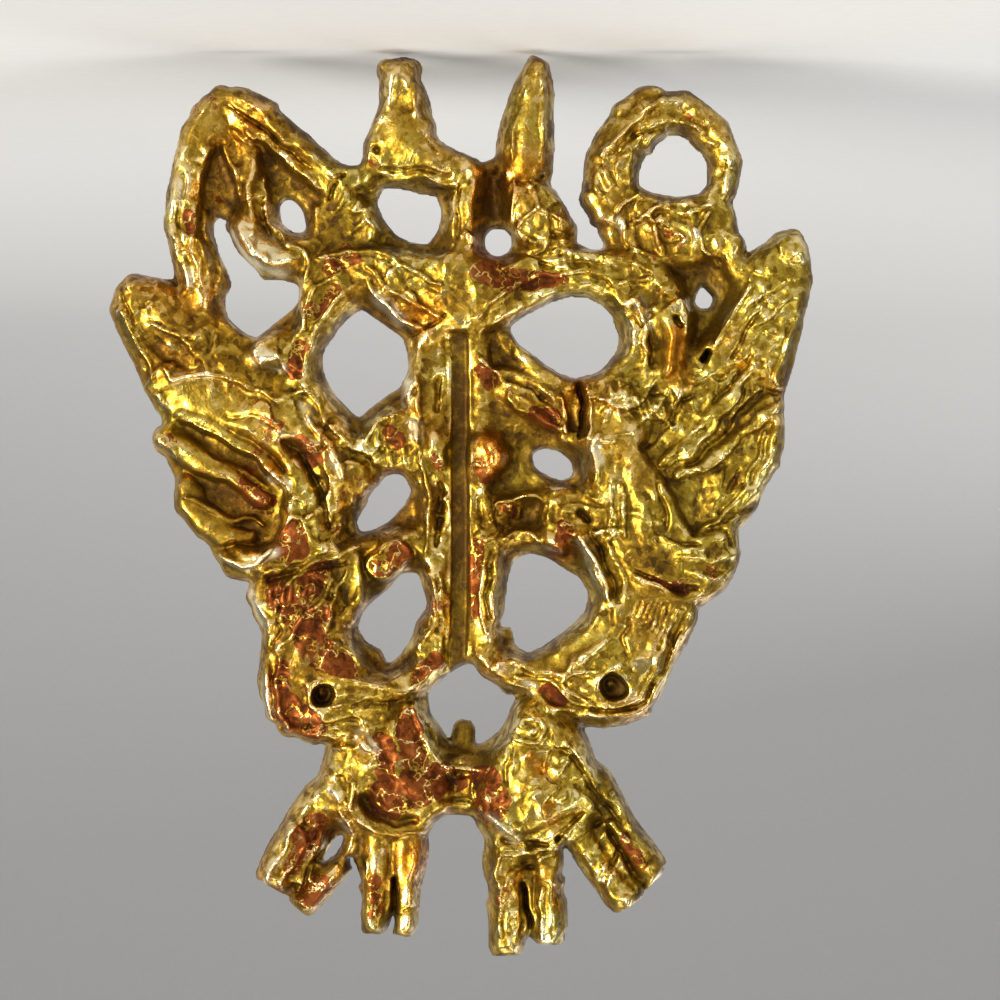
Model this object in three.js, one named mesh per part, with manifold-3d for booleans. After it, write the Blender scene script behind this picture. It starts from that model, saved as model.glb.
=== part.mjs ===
// A brooch cast in brass by the lost-wax process: two doves beak to beak on either side of a
// grooved tree trunk, with forked crowns of twigs above and a ring, a spear, a foot and loops below.
// Everything is modelled lying on the bench, face up: x across, y up the figure from its lowest
// point, z out of the flat back towards the viewer. The last lines stand the brooch up.
import * as THREE from "three";
import { mergeVertices } from "three/addons/utils/BufferGeometryUtils.js";
import Module from "manifold-3d";

const wasm = await Module();
wasm.setup();

// Driving dimensions, in millimetres.
const HEIGHT = 60; // lowest tip of the spear to the highest twig
const WEB = 1.25; // the thin sheet of metal between the figures
const TWIG_WEB = 1.5; // between the prongs of a twig
const WING_WEB = 2; // under the wing feathers
const WING_BED = 2.35; // the sunk beds that the feathers of the left and right wing lie in
const PETAL_BED = 2.1;
const GROOVE_FLOOR = 1.9; // down the middle of the trunk
const TAIL = 3.4; // tails
const BODY = 4.2; // heads, breasts and crown bulbs
const EDGE_SHARE = 0.5; // how much of a domed form's height is upright wall
const CUT_TOP = 7; // cutters reach this high, above every form
const SAMPLE = 1.5; // spacing of points along an outline
const STEP = 1.9; // spacing of sections along a bead of metal
const FINE = 0.62; // a bead narrower than this half width gets a plain ridged top
const FACETS = 24; // sides of a turned part or a drilled hole

// The pin fitting behind the casting.
const PIN_LEVEL = 32.7; // height up the figure at which the pin crosses the back
const PIN_DEPTH = 2.4; // from the back to the axis of the pin
const PIN_RADIUS = 0.45;
const PIN_TIP = 13.4; // how far across the pin reaches
const HINGE_X = -13.5;
const CATCH_X = 10.6;
const PLATE = 0.5; // thickness of both base plates

const gilt = (color, roughness) => new THREE.MeshStandardMaterial({ color, roughness, metalness: 1 });
const antiqueBrass = gilt(0xb98a2c, 0.38);
const fittingBrass = gilt(0xc79c45, 0.3);
const wireBrass = gilt(0xd2ab5a, 0.24);

// Solids: three.js geometries become closed bodies that can be joined and cut.

function solidOf(geometry) {
  const bare = new THREE.BufferGeometry();
  bare.setAttribute("position", geometry.getAttribute("position"));
  bare.setIndex(geometry.getIndex());
  const merged = mergeVertices(bare, 1e-4);
  const triVerts = new Uint32Array(merged.index.array);
  const vertProperties = merged.attributes.position.array;
  return new wasm.Manifold(new wasm.Mesh({ numProp: 3, vertProperties, triVerts }));
}

const joined = (solids) => solids.reduce((all, one) => all.add(one));

function geometryOf(solid) {
  const { vertProperties, triVerts } = solid.getMesh();
  const geometry = new THREE.BufferGeometry();
  geometry.setAttribute("position", new THREE.BufferAttribute(vertProperties, 3));
  geometry.setIndex(new THREE.BufferAttribute(triVerts, 1));
  geometry.computeVertexNormals();
  return geometry;
}

function piece(name, solid, material) {
  const mesh = new THREE.Mesh(geometryOf(solid), material);
  mesh.name = name;
  return mesh;
}

// A skin over rings of equal length, closed at both ends by the given triangles of one ring.
function skin(rings, cap) {
  const size = rings[0].length;
  const faces = [];
  for (let r = 0; r + 1 < rings.length; r++) {
    for (let i = 0; i < size; i++) {
      const a = r * size + i;
      const b = r * size + ((i + 1) % size);
      faces.push(a, b, b + size, a, b + size, a + size);
    }
  }
  const last = (rings.length - 1) * size;
  for (const [a, b, c] of cap) {
    faces.push(c, b, a, last + a, last + b, last + c);
  }
  const geometry = new THREE.BufferGeometry().setFromPoints(rings.flat());
  geometry.setIndex(faces);
  return solidOf(geometry);
}

// Outlines run anticlockwise through a few points, smoothly, and are sampled evenly.
function outline(points, spacing = SAMPLE) {
  const corners = points.map(([x, y]) => new THREE.Vector3(x, y, 0));
  const curve = new THREE.CatmullRomCurve3(corners, true, "centripetal");
  const count = Math.max(8, Math.round(curve.getLength() / spacing));
  const loop = curve.getSpacedPoints(count).slice(0, count);
  return THREE.ShapeUtils.isClockWise(loop) ? loop.reverse() : loop;
}

function nearestOn(path, point) {
  const best = new THREE.Vector3();
  let least = Infinity;
  for (let i = 0; i + 1 < path.length; i++) {
    const edge = new THREE.Line3(path[i], path[i + 1]);
    const near = edge.closestPointToPoint(point, true, new THREE.Vector3());
    if (near.distanceTo(point) < least) {
      least = near.distanceTo(point);
      best.copy(near);
    }
  }
  return best;
}

// A domed form: its outline rises as an upright wall, then closes over its spine in an arc.
const DOME = [0.18, 0.5];

function domed(points, { spine, height, edge = height * EDGE_SHARE }) {
  const loop = outline(points);
  const ridge = spine.map(([x, y]) => new THREE.Vector3(x, y, 0));
  const foot = loop.map((p) => nearestOn(ridge, p));
  const ring = (share, z) => loop.map((p, i) => p.clone().lerp(foot[i], share).setZ(z));
  const rings = [ring(0, 0), ring(0, edge)];
  for (const share of DOME) {
    rings.push(ring(share, edge + (height - edge) * Math.sqrt(1 - (1 - share) ** 2)));
  }
  return skin(rings, THREE.ShapeUtils.triangulateShape(loop, []));
}

// Sections follow a path and run clockwise as seen along it, each a list of [offset to the left, z].
const pathOf = (stops) =>
  new THREE.CatmullRomCurve3(stops.map(([x, y]) => new THREE.Vector3(x, y, 0)), false, "centripetal");

function section(centre, along, corners) {
  const left = new THREE.Vector3(-along.y, along.x, 0);
  return corners.map(([offset, z]) => centre.clone().addScaledVector(left, offset).setZ(z));
}

const fanOf = (count) => Array.from({ length: count - 2 }, (_, i) => [0, i + 1, i + 2]);

// A bead of metal laid along a path: each stop is [x, y, half width, height], with a D section.
const ROUND = [0, 0.3, 0.7, 1].map((share) => share * Math.PI);
const RIDGED = [0, 0.5, 1].map((share) => share * Math.PI);
// A cropped end runs on by half a millimetre, a rounded one by a share of its half width.
const CROPPED = { on: 0.5, width: 0.85, height: 0.9 };
const NOSE = { on: 0.72, width: 0.66, height: 0.85 };

function bead(stops, { cropped = false, base = 0 } = {}) {
  const path = pathOf(stops);
  const sizes = new THREE.CatmullRomCurve3(stops.map(([, , w, h]) => new THREE.Vector3(w, h, 0)));
  const steps = Math.max(stops.length - 1, Math.round(path.getLength() / STEP));
  const arc = Math.max(...stops.map(([, , w]) => w)) < FINE ? RIDGED : ROUND;
  const ringAt = (t, end, on) => {
    const along = path.getTangent(t);
    const centre = path.getPoint(t).addScaledVector(along, on);
    const size = sizes.getPoint(t);
    const halfWidth = size.x * end.width;
    const height = base + (size.y - base) * end.height;
    const wall = base + (height - base) * EDGE_SHARE;
    const top = arc.map((a) => [halfWidth * Math.cos(a), wall + (height - wall) * Math.sin(a)]);
    return section(centre, along, [[halfWidth, base], ...top, [-halfWidth, base]]);
  };
  const rings = [];
  for (let i = 0; i <= steps; i++) {
    rings.push(ringAt(i / steps, { width: 1, height: 1 }, 0));
  }
  const nose = (t, direction) => ringAt(t, NOSE, direction * NOSE.on * sizes.getPoint(t).x);
  rings.unshift(nose(0, -1));
  rings.push(cropped ? ringAt(1, CROPPED, CROPPED.on) : nose(1, 1));
  return skin(rings, fanOf(rings[0].length));
}

// A chased line: a cut along a path, with its floor above the back and its sides leaning out.
function groove(stops, floor, halfWidth = 0.22, lean = 0.2) {
  const path = pathOf(stops);
  const steps = Math.max(stops.length - 1, Math.round(path.getLength() / STEP));
  const mouth = halfWidth + lean * (CUT_TOP - floor);
  const corners = [[-halfWidth, floor], [halfWidth, floor], [mouth, CUT_TOP], [-mouth, CUT_TOP]];
  const rings = [];
  for (let i = 0; i <= steps; i++) {
    rings.push(section(path.getPoint(i / steps), path.getTangent(i / steps), corners));
  }
  return skin(rings, fanOf(corners.length));
}

// A flat sheet or a straight-sided cutter between two levels.
function slab(points, from, to, spacing) {
  const loop = outline(points, spacing);
  const depth = to - from;
  const geometry = new THREE.ExtrudeGeometry(new THREE.Shape(loop), { depth, bevelEnabled: false });
  return solidOf(geometry.translate(0, 0, from));
}

const HOLE_SAMPLE = 1.2;
const opening = (points) => slab(points, -1, CUT_TOP, HOLE_SAMPLE);
const sunk = (points, floor) => slab(points, floor, CUT_TOP, 1.4);

function drilled(x, y, radius) {
  const geometry = new THREE.CylinderGeometry(radius, radius, 2 * CUT_TOP, FACETS / 2);
  return solidOf(geometry.rotateX(Math.PI / 2).translate(x, y, 0));
}

// A round bump or, as a cutter, a round pit.
function ball(x, y, z, [rx, ry, rz], turn = 0) {
  const geometry = new THREE.SphereGeometry(1, 10, 7).rotateX(Math.PI / 2).scale(rx, ry, rz);
  return solidOf(geometry.rotateZ(turn).translate(x, y, z));
}

// The left dove, seen from the front.

function leftDove() {
  const headAndNeck = domed(
    [
      [-8, 44.7], [-11, 44.7], [-12.6, 44], [-13.5, 42.3], [-14.6, 40.1], [-15.9, 37.5],
      [-15.7, 35.6], [-13, 34.4], [-10.4, 34.6], [-8.8, 36], [-8.5, 37.3], [-7.4, 38.2],
      [-5.5, 39.5], [-4.6, 41.2], [-5.6, 43.6],
    ],
    { spine: [[-9.8, 41.8], [-12.4, 36.6]], height: BODY },
  );
  const beak = bead([
    [-7.6, 41.4, 2.1, 3.9], [-5, 41.2, 1.45, 3.7], [-2.7, 40.8, 1.3, 3.5], [-1.3, 39.8, 0.75, 3.1],
  ]);
  const breast = domed(
    [[-16.2, 36.8], [-18.2, 34.8], [-18.75, 32.8], [-18, 30.6], [-15.6, 28.6], [-13.4, 26.2], [-11.3, 23.2],
      [-9.2, 21.8], [-8, 23.5], [-8.1, 27.5], [-8.2, 31], [-8.8, 34.2], [-10.3, 36.2], [-13.2, 36.8]],
    { spine: [[-14.2, 33.5], [-12, 29], [-10, 25]], height: BODY },
  );
  const tail = domed(
    [
      [-21.4, 23], [-22.3, 20.2], [-23.1, 17], [-23.35, 15], [-23.25, 12.9], [-22.3, 11.6],
      [-21, 11.95], [-19.6, 13.3], [-18.2, 14.4], [-17.8, 16.6], [-16.6, 18.6], [-14.4, 20.4],
      [-13.2, 23], [-16.5, 24.6], [-19.5, 24.6],
    ],
    { spine: [[-17, 21.6], [-20.3, 17.6], [-21.6, 14.4]], height: TAIL },
  );
  const collars = [
    bead([[-17.4, 35, 0.5, 3.7], [-14.6, 35.1, 0.45, 4.6], [-11.6, 34.9, 0.35, 4.5]], { base: 1.5 }),
    bead([[-18, 33.2, 0.5, 3.7], [-16, 33.1, 0.45, 4.5], [-13.6, 32.6, 0.3, 4.5]], { base: 1.5 }),
    bead([[-9.9, 37, 0.5, 4.2], [-9.2, 34.8, 0.5, 4.3], [-7.9, 32.2, 0.55, 3.9]], { base: 1 }),
  ];
  const flank = bead([
    [-14.1, 21.3, 1.15, 4.0], [-14.2, 19, 1.2, 4.0], [-14.1, 16.2, 1.1, 3.6], [-12.6, 14.6, 1, 3.3],
  ]);
  const thigh = bead([
    [-8.3, 26, 0.6, 4], [-8.5, 23.4, 0.75, 3.7], [-10.3, 21.6, 1, 3.4], [-12, 20.2, 1, 3.3],
  ]);
  const rosette = ball(-10.5, 23.2, 3.2, [1.3, 1.25, 1.1]);
  const rump = slab([[-14.8, 24.4], [-12.4, 25.2], [-11, 24.6], [-10.8, 22.2], [-12, 20.8], [-14.6, 21.2]], 0, 3.1);
  const tailBoss = ball(-22.2, 13.5, 2.6, [0.95, 0.95, 0.9]);
  return [headAndNeck, beak, breast, tail, ...collars, flank, thigh, rosette, rump, tailBoss];
}

// Its wing: a sunk bed behind the breast, and the feathers that lie in it.

const leftWingBed = () => sunk([
  [-15.4, 32], [-19, 30.6], [-21.4, 28], [-21.8, 24.6], [-21.2, 22.7], [-18.8, 20.9], [-15.4, 22.7],
  [-12, 26], [-14, 29],
], WING_BED);

function leftFeathers() {
  return [
    bead([[-16, 31.6, 0.8, 3.3], [-18.5, 29.9, 0.75, 3.3], [-19.8, 28.1, 0.9, 3.2], [-20.55, 26.2, 1.05, 3.1],
      [-20.7, 24.4, 0.95, 3.0]]),
    bead([[-14.6, 28.2, 0.55, 3.4], [-16.2, 27.4, 0.72, 3.4], [-18.3, 25.6, 0.78, 3.3], [-20.6, 23.8, 0.7, 3.0]]),
    bead([[-13.4, 27.2, 0.6, 3.4], [-15.2, 25.8, 0.95, 3.4], [-17, 23.9, 0.95, 3.4], [-18.6, 22, 0.9, 3.3],
      [-19.8, 20.2, 0.8, 3.3]]),
    bead([[-14.1, 29.8, 0.75, 3.1], [-13.4, 30.9, 0.8, 3.5]]),
  ];
}

// The right dove.

function rightDove() {
  const headAndNeck = domed(
    [
      [5.4, 45], [7.6, 45.9], [10.5, 45.85], [12, 44.8], [13, 43.2], [13.5, 41.5], [13.1, 39.6],
      [13.3, 37.7], [14.3, 36.1], [13.6, 34.7], [10.5, 33.8], [8.2, 33.4], [7.4, 35.6], [7.2, 38.6],
      [6.5, 40], [5, 41.8], [3.8, 43],
    ],
    { spine: [[8.6, 42.6], [10.4, 38.5], [11, 36.2]], height: BODY + 0.1 },
  );
  const beak = bead([
    [6.8, 42.4, 1.5, 4.2], [4.4, 42.3, 1.05, 3.7], [2.8, 41.5, 1.15, 3.5], [1.5, 40.2, 0.95, 3.2],
  ]);
  const jaw = bead([[8.4, 40.2, 0.6, 4.2], [6.6, 41, 0.45, 3.8], [5.2, 42.2, 0.5, 3.6]], { base: 1 });
  const nape = bead([
    [11.2, 44.8, 0.7, 3.9], [12.2, 43, 0.8, 4.0], [12.55, 41.4, 0.85, 4.0], [12.3, 39.8, 0.6, 3.6],
  ]);
  const breast = domed(
    [
      [8.2, 34], [12, 34.8], [15.1, 35.05], [16.6, 32.8], [17.4, 30.6], [17.6, 27], [15.8, 23.4],
      [13.4, 21.8], [10.8, 22.2], [8.8, 24.4], [7, 26.2], [6.3, 28.6], [7.4, 31],
    ],
    { spine: [[12.2, 31.8], [11.8, 26.4]], height: BODY },
  );
  const tail = domed(
    [
      [12.4, 26.5], [16, 26.8], [19, 25], [20.3, 23.6], [21.5, 21], [22.9, 18.1], [23.4, 16.7],
      [22.7, 15.4], [21.9, 14.6], [19, 15.4], [17.2, 16.9], [15.4, 18.6], [13.6, 20.2],
      [11.4, 21.9], [10, 24.4],
    ],
    { spine: [[14, 23.8], [18, 20.8], [20.6, 17.6]], height: TAIL },
  );
  const collars = [
    bead([[7.6, 33, 0.4, 3.5], [10, 33.3, 0.4, 4.5], [13, 34.5, 0.4, 4.2]], { base: 1.5 }),
    bead([[12.1, 33, 0.4, 4.5], [14.3, 34, 0.4, 4.2], [16, 33, 0.4, 3.4]], { base: 1.5 }),
    bead([
      [9, 25.2, 0.35, 4], [10.7, 23.3, 0.4, 3.8], [13, 22.6, 0.4, 3.9], [15.4, 21.2, 0.45, 3.8],
    ], { base: 1.5 }),
    bead([[16.8, 20.2, 0.45, 3.8], [18.4, 18.4, 0.4, 3.6], [20.6, 16.9, 0.4, 3.2]], { base: 1.5 }),
  ];
  const thigh = bead([
    [6.3, 29, 0.9, 3.3], [7.1, 26.6, 0.9, 3.4], [8.6, 24.4, 0.9, 3.4], [9.9, 22.4, 0.85, 3.2],
  ]);
  return [headAndNeck, beak, jaw, nape, breast, tail, ...collars, thigh];
}

// Its wing: a smooth hollow with three petals, the first with a rolled edge.

const rightWingBed = () => sunk([
  [12, 32.5], [14.4, 33.1], [16.6, 33], [19.4, 30], [19.6, 27.4], [21.2, 25.4], [19.6, 23.8], [15, 24.9],
  [11.4, 27.6], [11.6, 30],
], PETAL_BED);

function rightFeathers() {
  return [
    bead([[14.2, 32.6, 0.8, 3.5], [16, 31.9, 1.0, 3.4], [17.3, 30.6, 1.25, 3.3], [17.9, 29.1, 1.2, 3.2]]),
    bead([[12.9, 31.8, 0.26, 3.2], [14.4, 30.9, 0.3, 3.3], [16, 30.8, 0.3, 3.3], [17, 29.9, 0.26, 3.4]], { base: 1.5 }),
    bead([[12.9, 29.6, 0.75, 3.5], [14.6, 28.5, 0.85, 3.5], [16.6, 27.2, 0.95, 3.4], [18.4, 26.1, 1.1, 3.4],
      [19.3, 25.65, 1.15, 3.3]]),
    bead([[11.3, 28.6, 0.8, 3.5], [12.6, 27.1, 0.95, 3.5], [14.6, 25.6, 0.95, 3.4], [16.6, 24.5, 0.85, 3.3],
      [18.6, 23.8, 0.75, 3.1]]),
  ];
}

// The tree trunk between the doves, and the branches that tie them to it.

function trunk() {
  const bars = [
    bead([[-1.7, 40.2, 1.1, 3.3], [-1.6, 37, 1.2, 3.4], [-1.75, 33.5, 1.3, 3.3], [-1.35, 30, 0.85, 2.8],
      [-1.4, 26.5, 0.95, 3.0], [-1.45, 23, 0.85, 2.7], [-1.4, 19.6, 0.95, 2.8]]),
    bead([[2.1, 39.8, 1.35, 3.2], [1.45, 36.6, 0.95, 3.1], [1.4, 33, 0.9, 2.9], [1.6, 29, 0.95, 2.7],
      [1.5, 25.6, 0.95, 3.0], [1.8, 22, 1.1, 2.7], [1.9, 19, 1.3, 2.8]]),
  ];
  const nuggets = [
    domed([
      [-3.4, 26.5], [-2.2, 25.2], [-0.7, 25.2], [-0.7, 28.6], [-2.3, 28.5],
    ], { spine: [[-2, 27.5], [-1.8, 26]], height: 4 }),
    domed([
      [0.6, 25.1], [2.5, 25], [2.6, 27.4], [0.6, 27.8],
    ], { spine: [[1.5, 27], [1.5, 25.8]], height: 3.6 }),
  ];
  const hub = domed(
    [
      [-2.6, 18.3], [-0.8, 19.3], [1.6, 19], [2.6, 17.4], [2, 15.4], [1.6, 13.2], [-1.4, 13.4],
      [-3.4, 14], [-4.2, 15.6],
    ],
    { spine: [[-0.8, 16.6], [0.2, 15.2]], height: 3.5 },
  );
  const fields = [
    slab([[-0.9, 41.5], [-0.9, 30], [-0.9, 18], [0.9, 18], [0.9, 30], [0.9, 41.5]], 0, GROOVE_FLOOR + 0.2, 6),
    slab([[-4, 25.4], [-3.6, 22.6], [-1, 22], [-1, 25.2]], 0, 2),
    slab([[2.4, 28], [2.4, 24.6], [5.2, 24.6], [6, 27.2], [4.6, 28]], 0, 2.7),
  ];
  return [...bars, ...nuggets, hub, ...fields];
}

function branches() {
  return [
    // left of the trunk, from the beak down
    bead([[-2.4, 32.4, 0.8, 2.9], [-4.6, 32.2, 0.8, 2.4], [-6.4, 32.2, 1.1, 3.4], [-8.2, 31.6, 1.1, 3.6]]),
    bead([[-7, 31.2, 0.7, 3.2], [-6.5, 29.6, 0.7, 3.1], [-5.4, 29.4, 0.35, 2.8], [-2.4, 29.7, 0.3, 2.7]]),
    bead([[-2.6, 31, 0.5, 2.5], [-3.2, 30.2, 0.75, 2.9]]),
    slab([[-8.8, 32], [-8.8, 29.3], [-5.8, 29.5], [-5.8, 32.2]], 0, 2.75),
    bead([[-8.4, 26, 0.7, 3.3], [-7.4, 25.8, 0.5, 2.7]]),
    bead([[-6.9, 25.1, 0.5, 2.9], [-5.6, 24.4, 0.55, 3.0], [-4, 23.1, 1.05, 3.3], [-2.6, 22.2, 0.6, 2.7]]),
    bead([[-6.7, 23.2, 0.6, 3.2], [-4.7, 21.8, 0.55, 3.0], [-2.6, 21.2, 0.5, 2.9], [-1.1, 20.4, 0.5, 2.9]]),
    bead([[-9.8, 21.6, 0.8, 3.0], [-7.4, 22.3, 0.7, 2.9], [-4.9, 20.9, 0.6, 2.6], [-3.1, 18.9, 0.5, 2.4]]),
    // right of the trunk
    bead([[2, 33.6, 0.7, 2.9], [3, 32.2, 0.8, 2.9], [5, 32.3, 0.6, 2.6], [7.4, 33, 0.7, 3.0]]),
    domed([
      [3, 32.8], [4.3, 32.2], [5.9, 32.9], [6.3, 34.3], [5.2, 35.2], [3.8, 34.6],
    ], { spine: [[4.1, 33.3], [5.2, 34.1]], height: 3.4 }),
    slab([[6.6, 37.8], [8.8, 38], [8.8, 33], [6.6, 33]], 0, 3),
    bead([[6.3, 36.3, 0.55, 2.5], [6.4, 34.8, 0.55, 2.6], [6.5, 33.4, 0.5, 2.6]]),
    bead([
      [2.2, 31.4, 0.45, 2.9], [2.3, 29, 0.45, 2.8], [2.9, 26.6, 0.8, 2.9], [3, 24.6, 0.8, 3.2],
      [3, 22, 0.7, 3.1], [2.8, 20, 0.6, 2.8],
    ]),
    bead([[3, 24.3, 0.5, 3.1], [4.5, 24.1, 0.6, 3.1], [5.7, 25.1, 0.65, 3.2], [6.6, 26.8, 0.8, 3.3]]),
    // fields filled beside the left thigh, and between the struts under the doves
    slab([[-8, 26], [-7.9, 22], [-6, 22], [-6.4, 26]], 0, 2.2),
    slab([[-13, 21], [-12.2, 18], [-11, 16], [-13.2, 15.4], [-14.6, 17], [-14.4, 21]], 0, 3),
    slab([[1, 17.6], [6, 15], [5.6, 14.2], [1.2, 14.6]], 0, 2.9),
    slab([[7.2, 14.8], [9.6, 18.6], [10.4, 18.2], [10.3, 14.4]], 0, 2.9),
    // the bar under both doves
    bead([
      [-13.2, 14.6, 0.9, 3.2], [-10.6, 14.3, 1.25, 3.2], [-7, 14.2, 1.15, 3.1],
      [-3.4, 14.7, 1.05, 3.1],
    ]),
    bead([[-12, 20.4, 1.05, 3.1], [-12, 18, 1.2, 3.3], [-11, 16.2, 1.1, 3.1], [-8.2, 15.5, 0.9, 2.9],
      [-5.2, 16.1, 0.95, 2.9], [-2.4, 17.6, 0.9, 3.1]]),
    bead([[1.8, 18.6, 0.9, 2.9], [3.4, 17.3, 1.15, 2.9], [5.4, 15.7, 1.1, 2.9], [7, 14.4, 1.3, 3.1]]),
    bead([[1.6, 14.6, 1.1, 3.1], [4, 13.9, 1.0, 2.9], [6.6, 14, 1.0, 3.1], [9.4, 14.2, 1.2, 3.2]]),
    bead([
      [6.8, 15.2, 1.0, 2.9], [8.5, 16.8, 1.1, 3.0], [10, 18.6, 1.15, 3.0], [10.6, 20.6, 1.2, 3.1],
      [10.8, 22.2, 1.2, 3.2],
    ]),
    bead([[10.5, 19.6, 1.3, 2.9], [12.3, 19.8, 1.35, 3.5], [13.6, 20.4, 1.0, 3.4]]),
    bead([[10.2, 18, 0.55, 2.9], [10.2, 15.4, 0.5, 3.0], [10.2, 13.4, 0.5, 3.1]]),
  ];
}

// The crowns: a bulb on each dove's head, with two forked twigs each, and the bridge between them.

function crowns() {
  const leftBulb = domed(
    [[-7.9, 44.4], [-9, 47], [-9.8, 49.2], [-8.6, 51.4], [-6.4, 52.9], [-4, 53.3], [-2, 52.6], [-1, 51],
      [-0.7, 48.6], [-2, 46.4], [-3.2, 45], [-3.5, 43.2], [-5.2, 42.4]],
    { spine: [[-5, 46], [-5.2, 49.4]], height: BODY + 0.5 },
  );
  const rightBulb = domed(
    [
      [0.8, 50.6], [3, 51.8], [5.6, 51.7], [8.4, 51.4], [10, 49.2], [9.3, 47.8], [9, 46.6],
      [8.8, 45.4], [6.5, 44.8], [4.6, 43.8], [3.3, 42.4], [2.3, 43.4], [1.6, 45.4], [0.7, 46.6],
      [0.2, 48.6],
    ],
    { spine: [[4.2, 49], [4.6, 46.4]], height: BODY + 0.2 },
  );
  const bridge = bead([[-2.6, 48.6, 2.1, 3.2], [0.1, 48.3, 2.3, 2.7], [2.6, 48.6, 2.1, 3.2]]);
  const twigs = [
    bead([[-8.9, 48.3, 1.2, 3.3], [-10.4, 50.8, 1.1, 3.3], [-12.7, 54.1, 1.1, 3.3]], { cropped: true }),
    bead([[-7.4, 50.6, 1.3, 3.4], [-9.1, 53.2, 1.45, 3.4], [-11.1, 56.2, 1.3, 3.3]], { cropped: true }),
    bead([[-5.7, 52.4, 1.1, 3.3], [-5.85, 55, 0.95, 3.3], [-5.95, 58.75, 1.0, 3.3]], { cropped: true }),
    bead([[-3.1, 52, 1.5, 3.3], [-3.1, 55.5, 1.25, 3.4], [-3.15, 59.5, 1.15, 3.4]], { cropped: true }),
    bead([[3.3, 51.2, 1.4, 3.2], [3.55, 54.5, 0.95, 3.2], [3.75, 58.2, 0.85, 3.2]], { cropped: true }),
    bead([[5.4, 51.2, 1.2, 3.2], [5.55, 54.6, 0.95, 3.3], [5.65, 58.1, 0.85, 3.2]], { cropped: true }),
    bead([[7.3, 53.1, 0.75, 2.9], [8.6, 54.6, 0.95, 3.2], [10.4, 56.6, 0.95, 3.2]], { cropped: true }),
    bead([[8.9, 49.2, 1.3, 3.3], [10.5, 51.6, 1.35, 3.4], [12.45, 54.9, 1.2, 3.3]], { cropped: true }),
    bead([[6.9, 50.6, 0.7, 3.2], [7, 52, 0.5, 2.8], [7.2, 53.2, 0.55, 2.7]]),
    bead([[9.4, 52.2, 0.5, 2.6], [10.8, 55, 0.6, 2.6]]),
  ];
  const webs = [
    slab([[-6.8, 52.6], [-4.4, 51.6], [-1.9, 52.6], [-2.4, 57.6], [-4.4, 58.9], [-6.2, 57.6]], 0, TWIG_WEB),
    slab([[2.2, 51.4], [4.5, 50.6], [6.6, 51.4], [6.2, 56.8], [4.6, 57.8], [3.2, 56.8]], 0, TWIG_WEB),
    slab([[-9.6, 49], [-7.4, 50.6], [-8.6, 53.4], [-11, 56], [-12.5, 55], [-11.4, 51.8]], 0, TWIG_WEB),
    slab([[8, 50.4], [9.8, 50], [12.4, 54.6], [11, 56.4], [8.6, 54.6], [7.4, 53.2]], 0, TWIG_WEB),
  ];
  const folds = [
    bead([[-8.1, 50.6, 0.35, 3.4], [-6.2, 52.6, 0.4, 3.5], [-4.2, 53.2, 0.4, 3.5], [-2.4, 52.4, 0.4, 3.4]]),
    bead([
      [2, 51.3, 0.35, 3.4], [4, 51.7, 0.35, 3.5], [6, 51.1, 0.4, 3.5], [7.1, 49.6, 0.4, 3.4],
      [7.2, 47.6, 0.4, 3.5],
    ]),
    bead([[6.2, 46.9, 0.45, 3.8], [7.6, 47.4, 0.5, 3.7], [9, 48.2, 0.5, 3.5]]),
    bead([
      [-2.6, 47.2, 0.3, 3.3], [-0.8, 47.4, 0.35, 3.2], [0.8, 47.5, 0.35, 3.2],
      [1.8, 46.6, 0.35, 3.4], [2.6, 44.4, 0.35, 3.6],
    ]),
  ];
  const ringBoss = ball(-4.6, 44.7, 3.3, [1.25, 1.15, 0.9]);
  return [leftBulb, rightBulb, bridge, ...twigs, ...webs, ...folds, ringBoss];
}

// Below the bar: the ring, the spear, the foot and the loops.

function ring() {
  const rim = bead([
    [-14.6, 10.6, 0.95, 2.6], [-16.8, 10, 0.9, 2.6], [-17.75, 7.8, 1.1, 2.7],
    [-16.7, 5.1, 1.25, 2.8], [-13.7, 3.8, 1.6, 2.9], [-11.3, 5.2, 1.7, 2.9],
    [-10.05, 7.8, 1.9, 3.0], [-10.4, 10, 1.9, 2.9], [-13, 10.6, 1.2, 2.7],
  ]);
  const struts = [
    bead([[-18.3, 14.6, 0.8, 3.0], [-17.7, 12.8, 1.0, 2.8], [-17.4, 10.6, 0.9, 2.6]]),
    bead([[-13.1, 13, 0.35, 2.7], [-13, 11, 0.5, 3.0]]),
    bead([[-15.8, 12.4, 0.35, 2.4], [-15.2, 11.3, 0.4, 2.6], [-13.8, 11.3, 0.35, 2.6]]),
    bead([[-11.3, 12.6, 0.4, 2.7], [-10.6, 11.2, 0.5, 2.8], [-9.6, 9.6, 0.6, 3.1]]),
  ];
  const shoulder = domed(
    [[-8.9, 10.6], [-9.3, 12], [-10.2, 13.4], [-11.4, 12.6], [-11.4, 10.6], [-10, 10]],
    { spine: [[-10.4, 11.4], [-10.2, 12]], height: 2.3 },
  );
  const knot = slab([[-17.2, 13.5], [-16.7, 10.6], [-11.6, 10.3], [-11.4, 13.8]], 0, 2.3);
  return [rim, ...struts, shoulder, knot];
}

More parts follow.
